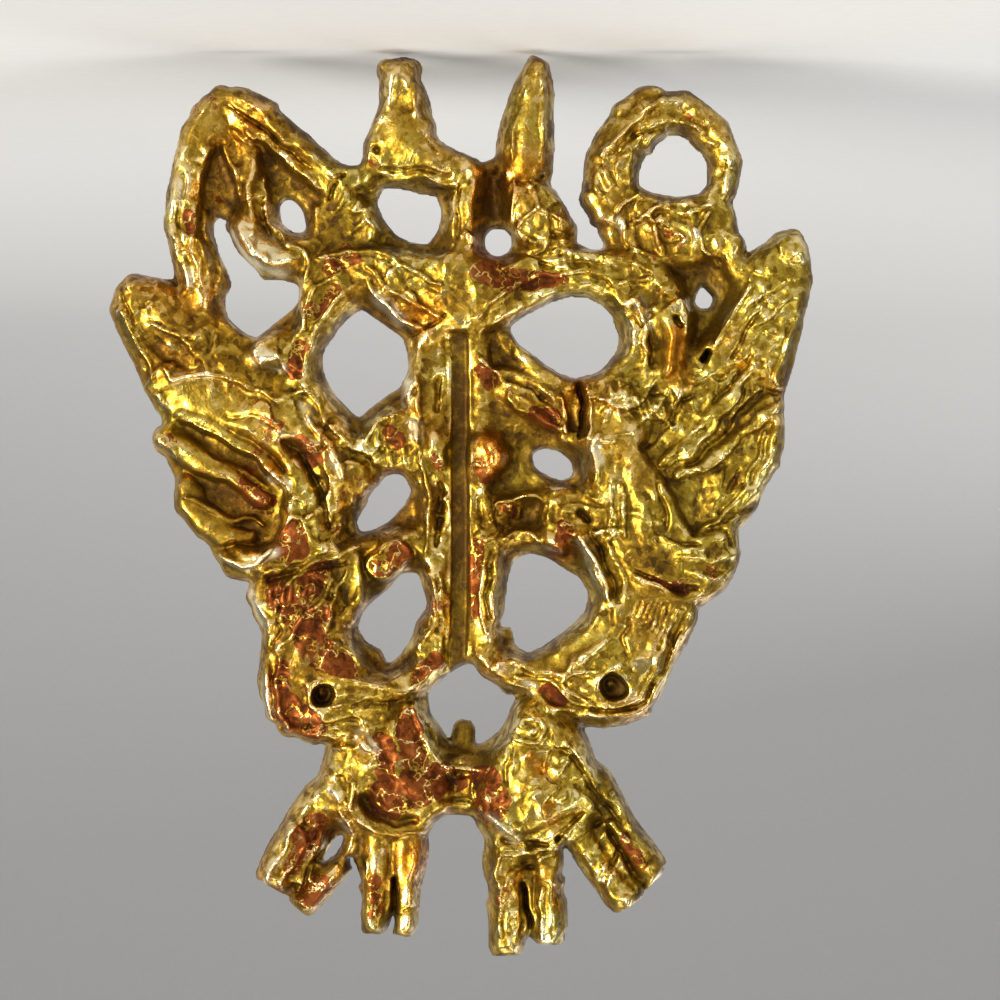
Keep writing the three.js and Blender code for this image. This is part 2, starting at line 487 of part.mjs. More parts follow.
function spear() {
  const cup = domed(
    [[-7.85, 11.6], [-7.6, 13.2], [-3.6, 13.2], [-3, 10], [-2.8, 8.5], [-4.4, 8.4], [-6, 8.6], [-6.7, 9.9]],
    { spine: [[-5.2, 11.6], [-4.4, 9.6]], height: 3.3 },
  );
  const blade = domed(
    [
      [-6.1, 8], [-6.3, 6], [-6.2, 2.4], [-5.95, 0.7], [-5.2, -0.23], [-4.5, 0.5], [-3.5, 2.4],
      [-2.7, 4.8], [-2.4, 6.6], [-2.6, 7.9], [-4.3, 8.05],
    ],
    { spine: [[-4.3, 6.6], [-5.1, 1.6]], height: 3.1, edge: 1.1 },
  );
  const neck = slab([[-5.8, 9.4], [-5.9, 7.2], [-2.7, 7.2], [-2.8, 9.4]], 0, 1.7);
  return [cup, blade, neck];
}

function foot() {
  const stem = bead([[-0.3, 14, 1.1, 3.0], [-0.2, 11, 1.05, 3.0], [-0.6, 8.6, 1.0, 2.9]]);
  const sole = domed(
    [
      [1.4, 5.8], [1.95, 4.8], [2.05, 3.4], [2.5, 2], [3.2, 0.8], [4.3, 0.3], [5.3, 0.7], [5.25, 2],
      [5.4, 3.6], [5.9, 4.9], [6.5, 6.6], [6.4, 8], [4.2, 8.9], [1.6, 9.2], [-0.6, 9], [-1.8, 7.4],
      [-0.2, 6.7],
    ],
    { spine: [[0.2, 7.8], [4, 6.2], [3.9, 2.5]], height: 3.3, edge: 1.4 },
  );
  const edge = bead([[-2.3, 7.4, 0.4, 1.7], [-1.4, 8, 0.5, 2.4]]);
  return [stem, sole, edge];
}

function loops() {
  return [
    bead([
      [6.4, 8.4, 0.9, 2.7], [8.4, 8.5, 1.3, 2.8], [11, 6.5, 1.35, 2.8], [14, 3.8, 1.5, 2.8],
      [15.8, 3.6, 1.2, 2.8],
    ]),
    bead([[17.4, 17.4, 1.3, 3.0], [17.3, 15, 1.35, 3.1], [18.2, 12, 1.45, 3.1], [18.3, 9.6, 1.15, 2.9],
      [17.6, 6.9, 1.25, 2.9], [16.5, 4.4, 1.6, 2.9], [15, 3.4, 1.3, 2.8]]),
    bead([[13.6, 12.2, 0.8, 3.2], [13.9, 9.8, 0.8, 2.9], [13.8, 7.6, 0.65, 2.8], [14.4, 5, 0.9, 2.8]]),
    bead([[14.5, 8.6, 0.4, 2.9], [15.2, 6.6, 0.5, 2.9], [15.8, 5, 0.6, 2.9]]),
    bead([[10.6, 13.8, 1.0, 3.5], [12.4, 13.8, 1.2, 4.1], [13.9, 12.8, 1.4, 4.2], [14.3, 11.4, 1.0, 3.8]]),
    slab([[6, 12.9], [6.9, 10.4], [9.4, 9.8], [9.5, 13]], 0, 1.9),
    bead([
      [9.4, 12.8, 0.5, 3.0], [11.2, 12.6, 0.5, 3.0], [12.6, 11.6, 0.5, 3.0], [12.9, 9.8, 0.5, 2.8],
      [13.3, 7, 0.4, 2.7],
    ]),
    bead([[5.7, 12.4, 0.5, 2.7], [6, 10.8, 0.6, 2.6], [7.4, 10, 0.8, 2.6], [8.8, 9.2, 0.7, 2.7]]),
  ];
}

// The thin sheets left between the figures.

function sheets() {
  return [
    slab([
      [-3, 47], [2, 47], [3.6, 43], [7, 41], [9, 36], [9, 30], [12, 26], [13, 19.6], [16.6, 17.6],
      [18.6, 15], [19.4, 11.4], [18.4, 7], [17.2, 4], [15.2, 2.8], [12.6, 4.2], [9, 7.2], [6.6, 8],
      [2, 8.4], [-1.4, 7.9], [-4.6, 8.8], [-6.6, 10.4], [-7.2, 12.6], [-12, 13.4], [-18.4, 14],
      [-17.8, 20], [-12, 26], [-9.6, 32], [-9.4, 36], [-7, 40.6], [-3.4, 42.4],
    ], 0, WEB, 2.2),
    slab([
      [-18.8, 31.6], [-20.2, 28.8], [-21.3, 25.6], [-21.2, 22.4], [-15, 21], [-11, 25], [-12, 31],
    ], 0, WING_WEB),
    slab([[11, 33], [16.2, 32.4], [18.6, 29], [19.8, 25], [16.5, 17.4], [13.6, 19], [10.5, 22.4]], 0, WING_WEB),
    slab([
      [-18.4, 14.6], [-18.3, 12], [-17.6, 10.2], [-12.4, 9.4], [-8.8, 10.2], [-9.6, 12.2],
      [-9.4, 14],
    ], 0, WEB, 2.2),
  ];
}

// Through holes of the openwork.

function throughHoles() {
  return [
    // under the crowns
    opening([
      [-3.3, 44.1], [-3.5, 43.1], [-3, 42.3], [-1.8, 41.7], [-0.75, 40.4], [0.8, 41.4], [2.1, 42.4],
      [2.1, 43.2], [1.3, 44.9], [0.6, 45.9], [-1.2, 46], [-2.5, 45.3],
    ]),
    // between each beak and its breast
    opening([
      [-4.6, 40], [-3.8, 39.6], [-3.45, 38.2], [-2.5, 38.6], [-3.05, 36.6], [-3.2, 35],
      [-3.7, 33.6], [-4.8, 33.25], [-6.4, 33.9], [-8.1, 34.9], [-8.65, 36.3], [-7.9, 37.8],
      [-6.1, 39.1],
    ]),
    opening([
      [4.75, 40.8], [3.6, 39.6], [2.9, 38], [2.1, 36.9], [2.35, 35.6], [2.5, 34.6], [3.5, 34.3],
      [4.4, 35.3], [6, 36.6], [6.9, 37.8], [6.4, 39.2], [5.1, 39.8],
    ]),
    // beside the trunk
    opening([
      [3.15, 29], [3.5, 28.1], [4.4, 27.8], [5.4, 28.5], [6.3, 30.2], [7.1, 31.5], [6.4, 32.1],
      [5, 31.4], [3.7, 30.2],
    ]),
    opening([[-7.7, 28.1], [-6.8, 28.5], [-5.7, 28], [-4.7, 27.2], [-5, 26.35], [-6.3, 26.3], [-7.4, 27]]),
    opening([
      [-10.6, 19.9], [-8.8, 21.4], [-7.2, 21.6], [-5, 20.2], [-3.2, 18.4], [-5, 17.1], [-7.2, 16.2],
      [-9.2, 16.5], [-10.5, 18],
    ]),
    opening([
      [6.7, 24.3], [5.4, 23.1], [4, 22.4], [3.4, 20.3], [3.8, 18.8], [5.2, 18], [6.5, 17],
      [7.8, 18], [9.2, 20.4], [8.7, 22.2], [7.6, 23.6],
    ]),
    // among the loops
    opening([
      [13.5, 19.05], [12.3, 17.9], [10.85, 16.8], [10.8, 15.4], [12.2, 15], [13.2, 15], [13.9, 13.8],
      [15, 13], [15.3, 11.5], [15.55, 10.7], [16.3, 10.9], [16.2, 12.9], [15.2, 15.2], [15.8, 17.1],
      [14.8, 18.3],
    ]),
    opening([[10.5, 11.8], [11.3, 12.05], [11.9, 10], [11.5, 9.6], [10.6, 10.6]]),
    opening([
      [2.1, 12.8], [3.2, 12.65], [4.6, 11.7], [5.6, 9.6], [5, 8.9], [3, 9.2], [1.3, 9.7],
      [1.2, 11.1],
    ]),
    // the ring, the round hole over the spear, and the two small ones by the tail
    opening([
      [-14.6, 9.6], [-13.1, 9.2], [-12.2, 8.2], [-12.8, 7], [-14.4, 5.7], [-15.7, 6.4],
      [-16.5, 7.4], [-16, 9.1],
    ]),
    drilled(-2.6, 12.6, 0.97),
    drilled(-16.3, 16.4, 0.72),
    // slit in the right outer twig
    opening([[7.6, 51.9], [8, 51.8], [9, 53.5], [8.8, 53.9], [8, 53]]),
  ];
}

// Chased lines, eyes and sunk fields.

function chasing() {
  return [
    groove([[0, 40.9], [0, 34], [-0.05, 27], [0, 19]], GROOVE_FLOOR, 0.45, 0.05),
    // eyes
    ball(-10.3, 42, 4.5, [1.05, 0.95, 2.2]),
    ball(8.9, 42.5, 4.7, [0.75, 0.75, 2.2]),
    // double rim round the left head
    groove([[-14.4, 38.6], [-13.1, 41.2], [-12.1, 42.9], [-10.6, 43.5], [-8.6, 43.3]], 3.2, 0.08, 0.2),
    // along the left tail
    groove([[-21.5, 21.6], [-22.1, 19.4], [-22.5, 17.8]], 2.5, 0.2, 0.15),
    // between the two long feathers of the left wing
    groove([[-15, 27.5], [-17.6, 25.1], [-19.2, 23.5], [-21.4, 22.6]], WING_BED, 0.2, 0.12),
    // between the breast and the wing of the right dove
    groove([[8.55, 31.6], [9.1, 28.8], [10.2, 26.8], [11.5, 25.9]], 2.6, 0.22, 0.12),
    // in the right bar of the trunk
    groove([[1.4, 32.3], [1.4, 28.8]], 2, 0.24, 0.1),
    // slots beside the thigh, under the round hole, across the spear's neck and along the twigs
    groove([[-7.95, 25.4], [-7.95, 22.1]], 1.7, 0.22, 0.06),
    groove([[-2.3, 11.4], [-2.25, 8]], 0.9, 0.35, 0.05),
    groove([[-5.1, 8.3], [-3.7, 8.25]], 1.4, 0.12, 0.06),
    groove([[-12.3, 55.6], [-10.6, 53.8], [-9, 51]], 1.4, 0.2, 0.1),
    groove([[11.6, 56.2], [10.4, 54.4], [9, 51.8]], 1.4, 0.2, 0.1),
    groove([[-4.65, 59.4], [-4.25, 55.6]], 1.0, 0.12, 0.06),
    groove([[4.6, 58.8], [4.4, 55]], 1.0, 0.12, 0.03),
    // along the loops
    groove([[14.7, 7.6], [14.9, 5.4], [15.8, 3.6]], 1.9, 0.12, 0.15),
    // crescents over the bulbs
    sunk([
      [-8.2, 50.2], [-6.9, 51.8], [-5.2, 52.7], [-3.3, 52.8], [-2.4, 51.9], [-3.6, 51.8],
      [-5.2, 51.5], [-6.8, 50.6],
    ], 2.7),
    sunk([[2.4, 51], [4.2, 51.3], [5.8, 50.7], [6.6, 49.4], [6, 48.8], [5, 49.9], [3.6, 50.4]], 2.8),
    // rough field in the right tail
    sunk([
      [16.6, 20.8], [18.8, 21.2], [20.2, 20], [21.8, 17.2], [20.9, 16.8], [19, 18.6], [17.6, 19.2],
    ], 2.9),
    // surround of the small hole by the left tail
    sunk([[-17.5, 15.4], [-16.6, 14.6], [-15.6, 15], [-15.5, 17], [-16.2, 18.3], [-17, 17.4]], 1.2),
    // sunk fields of the loops
    sunk([[10.4, 11.9], [11.6, 12.1], [12.4, 10.4], [13, 8], [13.1, 6.6], [12.1, 7.3], [10.5, 9.4]], WEB),
    sunk([[15.2, 10.8], [16.9, 11.2], [17.2, 9.5], [16.9, 7.4], [16, 6.5], [15.4, 7.4], [14.8, 9.2]], WEB),
  ];
}

function casting() {
  const raised = [
    ...sheets(), ...crowns(), ...leftDove(), ...rightDove(), ...trunk(), ...branches(),
    ...ring(), ...spear(), ...foot(), ...loops(),
  ];
  // the short peg hangs in the opening under the crowns, so it is added after the cuts
  const peg = bead([[-0.3, 47, 0.7, 1.35], [-0.3, 44.85, 0.7, 1.3]]);
  const cut = joined([...throughHoles(), ...chasing()]);
  const bench = solidOf(new THREE.BoxGeometry(80, 80, 6).translate(0, 30, -3));
  const wings = joined([...leftFeathers(), ...rightFeathers()]);
  const bedded = joined(raised).subtract(leftWingBed().add(rightWingBed())).add(wings);
  return bedded.subtract(cut).add(peg).subtract(bench);
}

// The pin fitting is worked out round the pin's own axis: x along the pin, y up the figure, z forward
// to the back of the casting at PIN_DEPTH. Each part is then moved into place.

const BACK = PIN_DEPTH;
const FACE = BACK - PLATE; // rear face of the base plates
const REAR = -4; // cutters reach this far behind the axis
const place = (solid) => solid.translate([0, PIN_LEVEL, -PIN_DEPTH]);

const turned = (radius, from, to) =>
  new THREE.CylinderGeometry(radius, radius, to - from, FACETS).translate(0, (from + to) / 2, 0);
const rodAcross = (radius, from, to) => solidOf(turned(radius, from, to).translate(HINGE_X, 0, 0));
const rodAlong = (radius, from, to) => solidOf(turned(radius, from, to).rotateZ(-Math.PI / 2));

function block([x0, x1], [y0, y1], [z0, z1]) {
  const box = new THREE.BoxGeometry(x1 - x0, y1 - y0, z1 - z0);
  return solidOf(box.translate((x0 + x1) / 2, (y0 + y1) / 2, (z0 + z1) / 2));
}

// Hinge: a plate, two ears and a closed end that stops the pin when it stands open.
const EYE_RADIUS = 0.95;
const EYE_HALF = 0.6; // half the thickness of the pin's eye
const EAR_INSIDE = 0.75;
const EAR_OUTSIDE = 1.25;
const RIVET_RADIUS = 0.4;

function hingeBracket() {
  const ear = new THREE.Shape();
  ear.moveTo(1.2, FACE + PLATE / 2);
  ear.lineTo(EYE_RADIUS, 0);
  ear.absarc(0, 0, EYE_RADIUS, 0, -Math.PI, true);
  ear.lineTo(-1.4, EYE_RADIUS);
  ear.lineTo(-1.4, FACE + PLATE / 2);
  const depth = EAR_OUTSIDE - EAR_INSIDE;
  const ears = [EAR_OUTSIDE, -EAR_INSIDE].map((y) => {
    const geometry = new THREE.ExtrudeGeometry(ear, { depth, bevelEnabled: false, curveSegments: FACETS / 2 });
    return solidOf(geometry.rotateX(Math.PI / 2).translate(HINGE_X, y, 0));
  });
  const plate = block([HINGE_X - 2.1, HINGE_X + 2.1], [-1.9, 1.9], [FACE, BACK]);
  const stop = block([HINGE_X - 1.55, HINGE_X - 1.1], [-1.2, 1.2], [-0.9, FACE + PLATE / 2]);
  const bore = rodAcross(RIVET_RADIUS + 0.03, -EAR_OUTSIDE - 1, EAR_OUTSIDE + 1);
  return place(joined([plate, stop, ...ears]).subtract(bore));
}

function hingeRivet() {
  const shank = rodAcross(RIVET_RADIUS, -EAR_OUTSIDE - 0.1, EAR_OUTSIDE + 0.1);
  const heads = [rodAcross(0.7, EAR_OUTSIDE, EAR_OUTSIDE + 0.3), rodAcross(0.7, -EAR_OUTSIDE - 0.3, -EAR_OUTSIDE)];
  return place(joined([shank, ...heads]));
}

// The pin: an eye, then a wire that tapers to its point inside the catch and just beyond it.
function pinStem() {
  const circle = (radius) =>
    Array.from({ length: FACETS }, (_, i) => {
      const angle = (i / FACETS) * 2 * Math.PI;
      return [radius * Math.cos(angle), radius * Math.sin(angle)];
    });
  const along = new THREE.Vector3(1, 0, 0);
  const stops = [[HINGE_X + 0.6, PIN_RADIUS], [PIN_TIP - 4, PIN_RADIUS], [PIN_TIP - 2.5, 0.4], [PIN_TIP - 1.2, 0.27],
    [PIN_TIP - 0.3, 0.11], [PIN_TIP, 0.04]];
  const rings = stops.map(([x, radius]) => section(new THREE.Vector3(x, 0, 0), along, circle(radius)));
  const eye = rodAcross(EYE_RADIUS, -EYE_HALF, EYE_HALF);
  const hole = rodAcross(RIVET_RADIUS + 0.07, -EAR_OUTSIDE, EAR_OUTSIDE);
  return place(joined([eye, skin(rings, fanOf(FACETS))]).subtract(hole));
}

// Catch: a ring with its mouth to the rear, and a slotted barrel that turns in it to shut the pin in.
const RING_OUTER = 1.9;
const RING_INNER = 1.45;
const RING_HALF = 1.1; // half the ring's length along the pin
const MOUTH_HALF = 0.78;

function catchBase() {
  const plate = block([CATCH_X - 1.5, CATCH_X + 1.5], [-1.5, 1.5], [FACE, BACK]);
  const foot = block([CATCH_X - RING_HALF, CATCH_X + RING_HALF], [-0.9, 0.9], [RING_INNER + 0.05, FACE + 0.2]);
  const ringBody = rodAlong(RING_OUTER, CATCH_X - RING_HALF, CATCH_X + RING_HALF);
  const bore = rodAlong(RING_INNER, CATCH_X - 2 * RING_HALF, CATCH_X + 2 * RING_HALF);
  const mouth = block([CATCH_X - 2 * RING_HALF, CATCH_X + 2 * RING_HALF], [-MOUTH_HALF, MOUTH_HALF], [REAR, 0]);
  return place(joined([plate, foot, ringBody.subtract(bore).subtract(mouth)]));
}

const BARREL_RADIUS = 1.38;
const BARREL_HALF = 1.55;
const FLANGE_RADIUS = 1.75;
const FLANGE = 0.35;
const SLOT_HALF = 0.6;
const LEVER = 2.5; // from the axis to the middle of the knob
const LEVER_REST = Math.PI / 4; // above straight behind

function catchBarrel() {
  const end = CATCH_X + BARREL_HALF;
  const start = CATCH_X - BARREL_HALF;
  const body = rodAlong(BARREL_RADIUS, start, end);
  const flanges = [rodAlong(FLANGE_RADIUS, start, start + FLANGE), rodAlong(FLANGE_RADIUS, end - FLANGE, end)];
  const tongue = block([end - FLANGE, end + 0.15], [-0.35, 0.35], [-LEVER, -1]);
  const knob = rodAlong(0.42, end - FLANGE + 0.05, end + 0.25).translate([0, 0, -LEVER]);
  const lever = tongue.add(knob).rotate([THREE.MathUtils.radToDeg(LEVER_REST), 0, 0]);
  const bore = rodAlong(SLOT_HALF + 0.02, start - 1, end + 1);
  const slot = block([start - 1, end + 1], [-SLOT_HALF, SLOT_HALF], [REAR, 0]);
  return place(joined([body, ...flanges, lever]).subtract(bore).subtract(slot));
}

const brooch = new THREE.Group();
brooch.add(
  piece("casting", casting(), antiqueBrass),
  piece("hinge_bracket", hingeBracket(), fittingBrass),
  piece("hinge_rivet", hingeRivet(), fittingBrass),
  piece("pin_stem", pinStem(), wireBrass),
  piece("catch_base", catchBase(), fittingBrass),
  piece("catch_barrel", catchBarrel(), fittingBrass),
);
brooch.rotation.x = Math.PI / 2;
brooch.position.z = -HEIGHT / 2;

export default brooch;
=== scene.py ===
import math

import bmesh
import bpy
import numpy as np
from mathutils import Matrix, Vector, kdtree
from mathutils.bvhtree import BVHTree


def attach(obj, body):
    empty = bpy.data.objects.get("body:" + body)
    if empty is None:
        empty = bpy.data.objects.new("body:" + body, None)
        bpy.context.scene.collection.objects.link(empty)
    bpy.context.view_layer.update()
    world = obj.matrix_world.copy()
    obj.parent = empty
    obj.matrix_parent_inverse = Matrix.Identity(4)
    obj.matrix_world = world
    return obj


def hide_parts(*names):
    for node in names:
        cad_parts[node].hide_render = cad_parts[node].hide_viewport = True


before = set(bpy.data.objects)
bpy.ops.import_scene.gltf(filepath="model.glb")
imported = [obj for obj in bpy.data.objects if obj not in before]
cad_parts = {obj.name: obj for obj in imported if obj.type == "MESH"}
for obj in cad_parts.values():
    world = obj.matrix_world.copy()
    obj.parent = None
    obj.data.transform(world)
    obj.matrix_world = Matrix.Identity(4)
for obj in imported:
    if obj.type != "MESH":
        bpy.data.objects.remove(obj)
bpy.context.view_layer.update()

# Casting: the openwork relief of the doves, poured in brass by the lost-wax process as one piece.
# Its back is flat and its front was modelled by hand in soft wax, so every form is lumpy and creased.
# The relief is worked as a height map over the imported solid, in millimetres: x across, z up from the foot.
MM = 0.001
HALF = 30  # the row frame's origin is halfway up the 60 mm figure
PX = 0.1  # one step of the map
xs = np.arange(-24.6, 24.6, PX)
zs = np.arange(-1, 61.2, PX)
X, Z = np.meshgrid(xs, zs)


def unit(value):
    """The value held between 0 and 1."""
    return np.clip(value, 0, 1)


def hill(value):
    """A smooth hill, 1 at zero and sinking to nothing at about 2 either way."""
    return np.exp(-value ** 2)


def from_solid(node):
    """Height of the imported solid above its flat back, 0 where there is no metal."""
    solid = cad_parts[node]
    corners = [solid.matrix_world @ v.co for v in solid.data.vertices]
    tree = BVHTree.FromPolygons(corners, [p.vertices for p in solid.data.polygons])
    height = np.zeros(X.shape)
    ahead, start, reach = Vector((0, 1, 0)), -0.02, 0.025
    for j, z in enumerate(zs):
        for i, x in enumerate(xs):
            hit = tree.ray_cast(Vector((x * MM, start, (z - HALF) * MM)), ahead, reach)[0]
            if hit is not None:
                height[j, i] = -hit.y / MM
    return height


def blurred(field, sigma):
    """The field under a Gaussian of that many millimetres."""
    fz = np.fft.fftfreq(field.shape[0], PX)
    fx = np.fft.rfftfreq(field.shape[1], PX)
    fall = np.exp(-2 * (math.pi * sigma) ** 2 * (fz[:, None] ** 2 + fx[None, :] ** 2))
    return np.fft.irfft2(np.fft.rfft2(field) * fall, field.shape)


def lumps(seed, size):
    """Seeded smooth noise with humps about that many millimetres wide, of unit spread."""
    field = blurred(np.random.default_rng(seed).standard_normal(X.shape), size / 2.5)
    return field / field.std()


def window(points, reach):
    """The part of the map near these points."""
    p = np.array([q[:2] for q in points], float)
    low, high = p.min(0) - reach, p.max(0) + reach
    i = np.clip(((np.array([low[0], high[0]]) - xs[0]) / PX).astype(int), 0, len(xs))
    j = np.clip(((np.array([low[1], high[1]]) - zs[0]) / PX).astype(int), 0, len(zs))
    return slice(j[0], j[1] + 1), slice(i[0], i[1] + 1)


def near(path, reach):
    """Distance to a path round it, and the path's third number interpolated along it."""
    win = window(path, reach)
    px, pz = X[win] + warp_x[win], Z[win] + warp_z[win]
    best, width = np.full(px.shape, 1e9), np.zeros(px.shape)
    for a, b in zip(path[:-1], path[1:]):
        dx, dz = b[0] - a[0], b[1] - a[1]
        t = unit(((px - a[0]) * dx + (pz - a[1]) * dz) / (dx * dx + dz * dz))
        away = np.hypot(px - a[0] - t * dx, pz - a[1] - t * dz)
        width = np.where(away < best, a[2] + t * (b[2] - a[2]), width)
        best = np.minimum(away, best)
    return win, best, width


def stroke(path, lift):
    """A thread of wax laid on along [x, z, half width], or with a negative lift a line drawn into it."""
    win, away, width = near(path, max(p[2] for p in path) + 0.3)
    height[win] += lift * unit(1 - (away / width) ** 2) ** 1.5


def within(points, soft):
    """1 inside an outline, falling to 0 over a soft edge."""
    win = window(points, soft + 0.6)
    px, pz = X[win] + warp_x[win], Z[win] + warp_z[win]
    inside = np.zeros(px.shape, bool)
    away = np.full(px.shape, 1e9)
    for (ax, az), (bx, bz) in zip(points, points[1:] + points[:1]):
        t = unit(((px - ax) * (bx - ax) + (pz - az) * (bz - az)) / ((bx - ax) ** 2 + (bz - az) ** 2))
        away = np.minimum(away, np.hypot(px - ax - t * (bx - ax), pz - az - t * (bz - az)))
        inside ^= ((az > pz) != (bz > pz)) & (px < (bx - ax) * (pz - az) / (bz - az + 1e-12) + ax)
    return win, unit(0.5 + np.where(inside, away, -away) / soft)


def floor(points, level, soft=0.35):
    """A field sunk to a level above the back."""
    win, share = within(points, soft)
    height[win] = height[win] * (1 - share) + np.minimum(height[win], level) * share


def fill(points, level, soft=0.5):
    """A field built up to a level above the back."""
    win, share = within(points, soft)
    height[win] = np.maximum(height[win], level * share)


def limb(path, level, crown=0.3):
    """A limb with a rounded top along [x, z, half width], which also widens the outline where it has to."""
    win, away, width = near(path, max(p[2] for p in path) + 0.6)
    outline[win] = np.maximum(outline[win], width - away)
    dome = level * (1 - crown * unit(away / width) ** 2)
    height[win] = np.maximum(height[win], dome * unit((width + 0.1 - away) / 0.3))


def trim(path):
    """Metal filed away along [x, z, half width]."""
    win, away, width = near(path, max(p[2] for p in path) + 0.6)
    outline[win] = np.minimum(outline[win], away - width)


def smooth(points, share):
    """A field burnished smooth, where only that share of the rough skin is left."""
    win, inside = within(points, 0.5)
    rough[win] *= 1 - (1 - share) * inside


warp_x, warp_z = 0.11 * lumps(1, 1.1), 0.11 * lumps(2, 1.1)
height = from_solid("casting")
metal = height > 0.05
SOFTENED = 0.26  # the solid's facets are melted over this many millimetres
tops = blurred(metal.astype(float), SOFTENED)
height = np.where(metal, blurred(height * metal, SOFTENED) / np.maximum(tops, 0.05), 0)

# distance inside the outline, and as a negative number outside it
edges = [((xs[i] + xs[i + 1]) / 2, zs[j], 0) for j, i in np.argwhere(metal[:, 1:] != metal[:, :-1])]
edges += [(xs[i], (zs[j] + zs[j + 1]) / 2, 0) for j, i in np.argwhere(metal[1:] != metal[:-1])]
tree = kdtree.KDTree(len(edges))
for n, edge in enumerate(edges):
    tree.insert(edge, n)
tree.balance()
reach = np.array([[tree.find((x, z, 0))[2] for x in xs] for z in zs])
outline = blurred(np.where(metal, reach, -reach), 0.2)
rough = np.ones(X.shape)

# the solid's wide grooves are half filled first, and then redrawn narrow
for level, *points in [
    (3.4, (-14.2, 39), (-13, 42.4), (-11, 44), (-8, 43.8), (-8, 42.8), (-10.8, 42.8), (-12.2, 41.2),
     (-13, 38.8)),
    (2.6, (-20.4, 22), (-21.6, 21), (-22.3, 18), (-21.4, 17.8), (-20.2, 20.6)),
    (3, (-14.8, 24.6), (-11.2, 25.2), (-10.8, 22.2), (-12, 20.8), (-14.8, 21)),
    (3, (-15, 22), (-12.7, 22), (-12.3, 18), (-11.2, 16), (-13.4, 15.4), (-15, 17)),
    (2.2, (-8, 26), (-7.9, 22), (-6, 22), (-6.4, 26)),
    (2.7, (-8.8, 31.2), (-8.8, 29), (-6.8, 29), (-6.8, 31.2)),
    (2.8, (-6.9, 32.2), (-6.9, 29.4), (-5.7, 29.3), (-5.7, 32.2)),
    (2, (-4, 25.4), (-3.6, 22.6), (-1, 22), (-1, 25.2)),
    (2.7, (2.4, 28), (2.4, 24.6), (5.4, 24.8), (6, 27.2), (4.6, 28)),
    (3, (6.4, 38), (8.6, 38), (8.6, 33), (6.4, 33)),
    (2.9, (1, 17.4), (6, 15), (5.6, 14.4), (1.2, 14.8)),
    (2.9, (7.4, 15), (10, 18.6), (10.4, 18.2), (10.3, 14.6)),
    (2.3, (-17.2, 14), (-16.6, 11), (-11.8, 10.8), (-11.6, 14)),
    (3, (-7.4, 12.4), (-3.4, 12.6), (-3.6, 8.9), (-5.6, 9)),
    (1.9, (6.2, 12.8), (7, 10.6), (9.8, 9.8), (9.8, 13)),
    (3.3, (8, 31.6), (8.2, 28.2), (9.8, 26.2), (11.8, 25.4), (11.4, 28), (9.6, 31.6)),
    (2.8, (16.4, 21), (18.8, 21.4), (20.4, 20), (22, 17), (20.6, 16.8), (18.6, 18.6), (17.2, 19.2)),
    (2.5, (0.6, 47.2), (4, 46), (3.6, 43.6), (1.6, 44)),
    (3.4, (7.6, 40.8), (10.6, 41.4), (10.4, 36), (8, 36)),
    (3.2, (11, 45), (12.2, 45), (12.6, 40), (11.2, 40)),
    (2, (-0.75, 40.6), (-0.75, 19.2), (0.75, 19.2), (0.75, 40.6)),
    (3.3, (-8.6, 50), (-7, 52.2), (-4.6, 53.3), (-2, 52.6), (-2.2, 51), (-5, 51.2), (-7, 50)),
    (3.3, (2, 51.4), (4.2, 51.8), (6.2, 51), (7, 49.4), (6, 48.4), (4.6, 49.8), (2.2, 50.2)),
    (2.5, (-13, 55.4), (-11.4, 56.6), (-8.4, 51.8), (-9.8, 50.4)),
    (2.3, (-5.3, 59), (-4, 59), (-3.4, 54), (-5.2, 54)),
    (2.3, (3.9, 58.2), (5.1, 58.2), (5.2, 54), (3.6, 54)),
    (2.4, (9.6, 55.6), (11.6, 55.4), (10, 51.6), (8.8, 51.4)),
    (2.2, (-6.1, 9), (-6.1, 7.6), (-2.8, 7.6), (-2.8, 9)),
]:
    fill(points, level)

